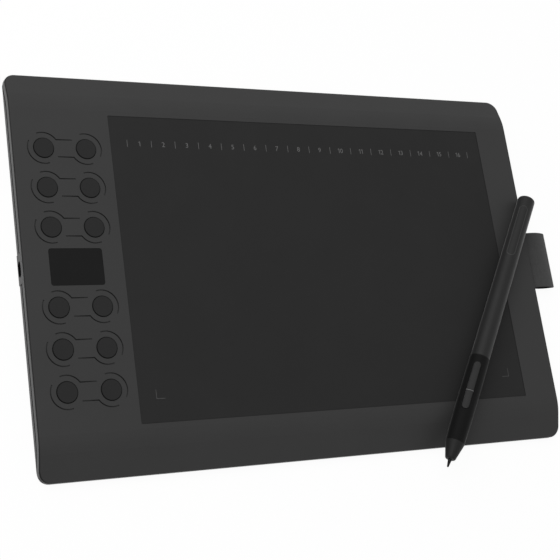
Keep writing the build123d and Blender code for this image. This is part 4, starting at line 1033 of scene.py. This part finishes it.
dress(soft_touch(cut_barrel(), sheen=0.22), "pen_barrel")
dress(soft_touch(nose_cone(), sheen=0.12), "pen_nose_cone")


# Pen grip: a sleeve of soft black rubber, moulded round a core and pushed over the neck of the
# barrel. Its skin is dull, and velvety to the fingers.
grip_rubber = moulded(
    "grip_rubber", level=14, rough=0.65, shine=0.06, grain=0.0003, depth=0.000012
)
dress(soft_touch(grip_rubber, sheen=0.13), "pen_grip")


# Side buttons: two rockers of moulded grey plastic in one slot of the grip. Flanges under the
# rubber keep them in, and each presses a small switch on the pen's board.
button_plastic = moulded(
    "button_plastic", level=40, rough=0.5, shine=0.08, grain=0.00015, depth=0.000004
)
dress(button_plastic, "pen_button_lower", "pen_button_upper")


# Nib, its holder and the carrier: the nib is a rod of hard black plastic, polished by use and
# pushed into its holder. The carrier is a grey moulded tray that holds the board in the barrel.
nib_plastic = moulded("nib_plastic", level=18, rough=0.4, shine=0.1, grain=0.0002, depth=0.000003)
carrier_plastic = moulded("carrier_plastic", level=70, rough=0.5, shine=0.3)
dress(nib_plastic, "pen_nib", "nib_holder")
dress(carrier_plastic, "pen_carrier")


# Coil and core: turns of lacquered copper wire, wound 0.12 mm apart on a tube of sintered
# ferrite, which sits round the nib inside the nose cone.
turn_bands = 2600.0
turn_height = 0.00005
wire_shade = (0.30, 0.10, 0.03, 1)
wire_highlight = (0.80, 0.36, 0.16, 1)
pen_heading = np.arctan2(pen_along.y, pen_along.x)


def wound_copper():
    """Turns of wire as bands square to the pen, with painted shade between them and a painted
    highlight on their crowns.
    """
    material, tree, shader = blank_finish("coil_wire")
    mapping = tree.nodes.new("ShaderNodeMapping")
    mapping.vector_type = "TEXTURE"
    mapping.inputs["Rotation"].default_value = (0, 0, pen_heading)
    tree.links.new(place_on(tree), mapping.inputs["Vector"])
    turns = tree.nodes.new("ShaderNodeTexWave")
    turns.bands_direction = "X"
    turns.inputs["Scale"].default_value = turn_bands
    tree.links.new(mapping.outputs["Vector"], turns.inputs["Vector"])
    wire = tint(tree, turns.outputs["Fac"], wire_shade, wire_highlight)
    tree.links.new(wire, shader.inputs["Base Color"])
    tree.links.new(relief(tree, turns.outputs["Fac"], turn_height), shader.inputs["Normal"])
    shader.inputs["Metallic"].default_value = 1.0
    shader.inputs["Roughness"].default_value = 0.35
    return material


ferrite = moulded("ferrite", level=52, rough=0.6, shine=0.4, grain=0.0001, depth=0.00001)
dress(wound_copper(), "pen_coil")
dress(ferrite, "ferrite_core")


# Floor and light: a white sheet under the tablet, a large soft lamp behind it to the left, and
# even white light all round. The floor shows nearly white to the eye and keeps a soft shadow.
floor_size = 6.0
floor_thickness = 0.01
floor_level = cad_box[0][2]
paper_colour = (0.9, 0.9, 0.9, 1)
paper_glow = 0.95
sky_light = 0.44
sky_shown = 1.0
lamp_place = (-0.9, 0.85, 1.45)
lamp_size = 1.8
lamp_power = 32.0


def shown_white(tree):
    """1 where the camera or a reflection looks, 0 for the light that falls on the object."""
    path = tree.nodes.new("ShaderNodeLightPath").outputs
    seen = reckon(tree, "MAXIMUM", path["Is Camera Ray"], path["Is Glossy Ray"])
    return reckon(tree, "MAXIMUM", seen, path["Is Transmission Ray"])


def lit_paper():
    """Dull white paper, mixed with a white glow where it is looked at."""
    material, tree, shader = blank_finish("white_paper")
    shader.inputs["Base Color"].default_value = paper_colour
    shader.inputs["Roughness"].default_value = 1.0
    shader.inputs["Specular IOR Level"].default_value = 0.0
    glow = tree.nodes.new("ShaderNodeEmission")
    mix = tree.nodes.new("ShaderNodeMixShader")
    share = reckon(tree, "MULTIPLY", shown_white(tree), paper_glow)
    tree.links.new(share, mix.inputs["Fac"])
    tree.links.new(shader.outputs["BSDF"], mix.inputs[1])
    tree.links.new(glow.outputs["Emission"], mix.inputs[2])
    tree.links.new(mix.outputs["Shader"], tree.nodes["Material Output"].inputs["Surface"])
    return material


floor_mesh = bars(
    "floor", [(0, 0)], floor_size, floor_size, floor_level - floor_thickness, floor_level
)
floor_mesh.materials.append(lit_paper())
floor = bpy.data.objects.new("floor", floor_mesh)
bpy.context.scene.collection.objects.link(floor)

world = bpy.data.worlds.new("studio")
world.use_nodes = True
bpy.context.scene.world = world
sky = world.node_tree.nodes["Background"]
sky.inputs["Color"].default_value = (1, 1, 1, 1)
sky_shows = shown_white(world.node_tree)
sky_strength = ramp(world.node_tree, sky_shows, 0.0, 1.0, sky_light, sky_shown)
world.node_tree.links.new(sky_strength, sky.inputs["Strength"])

light = bpy.data.lights.new("main_lamp", "AREA")
light.size = lamp_size
light.energy = lamp_power
lamp = bpy.data.objects.new("main_lamp", light)
lamp.location = lamp_place
lamp.rotation_euler = (-Vector(lamp_place)).to_track_quat("-Z", "Y").to_euler()
bpy.context.scene.collection.objects.link(lamp)

bpy.context.scene.view_settings.view_transform = "Standard"
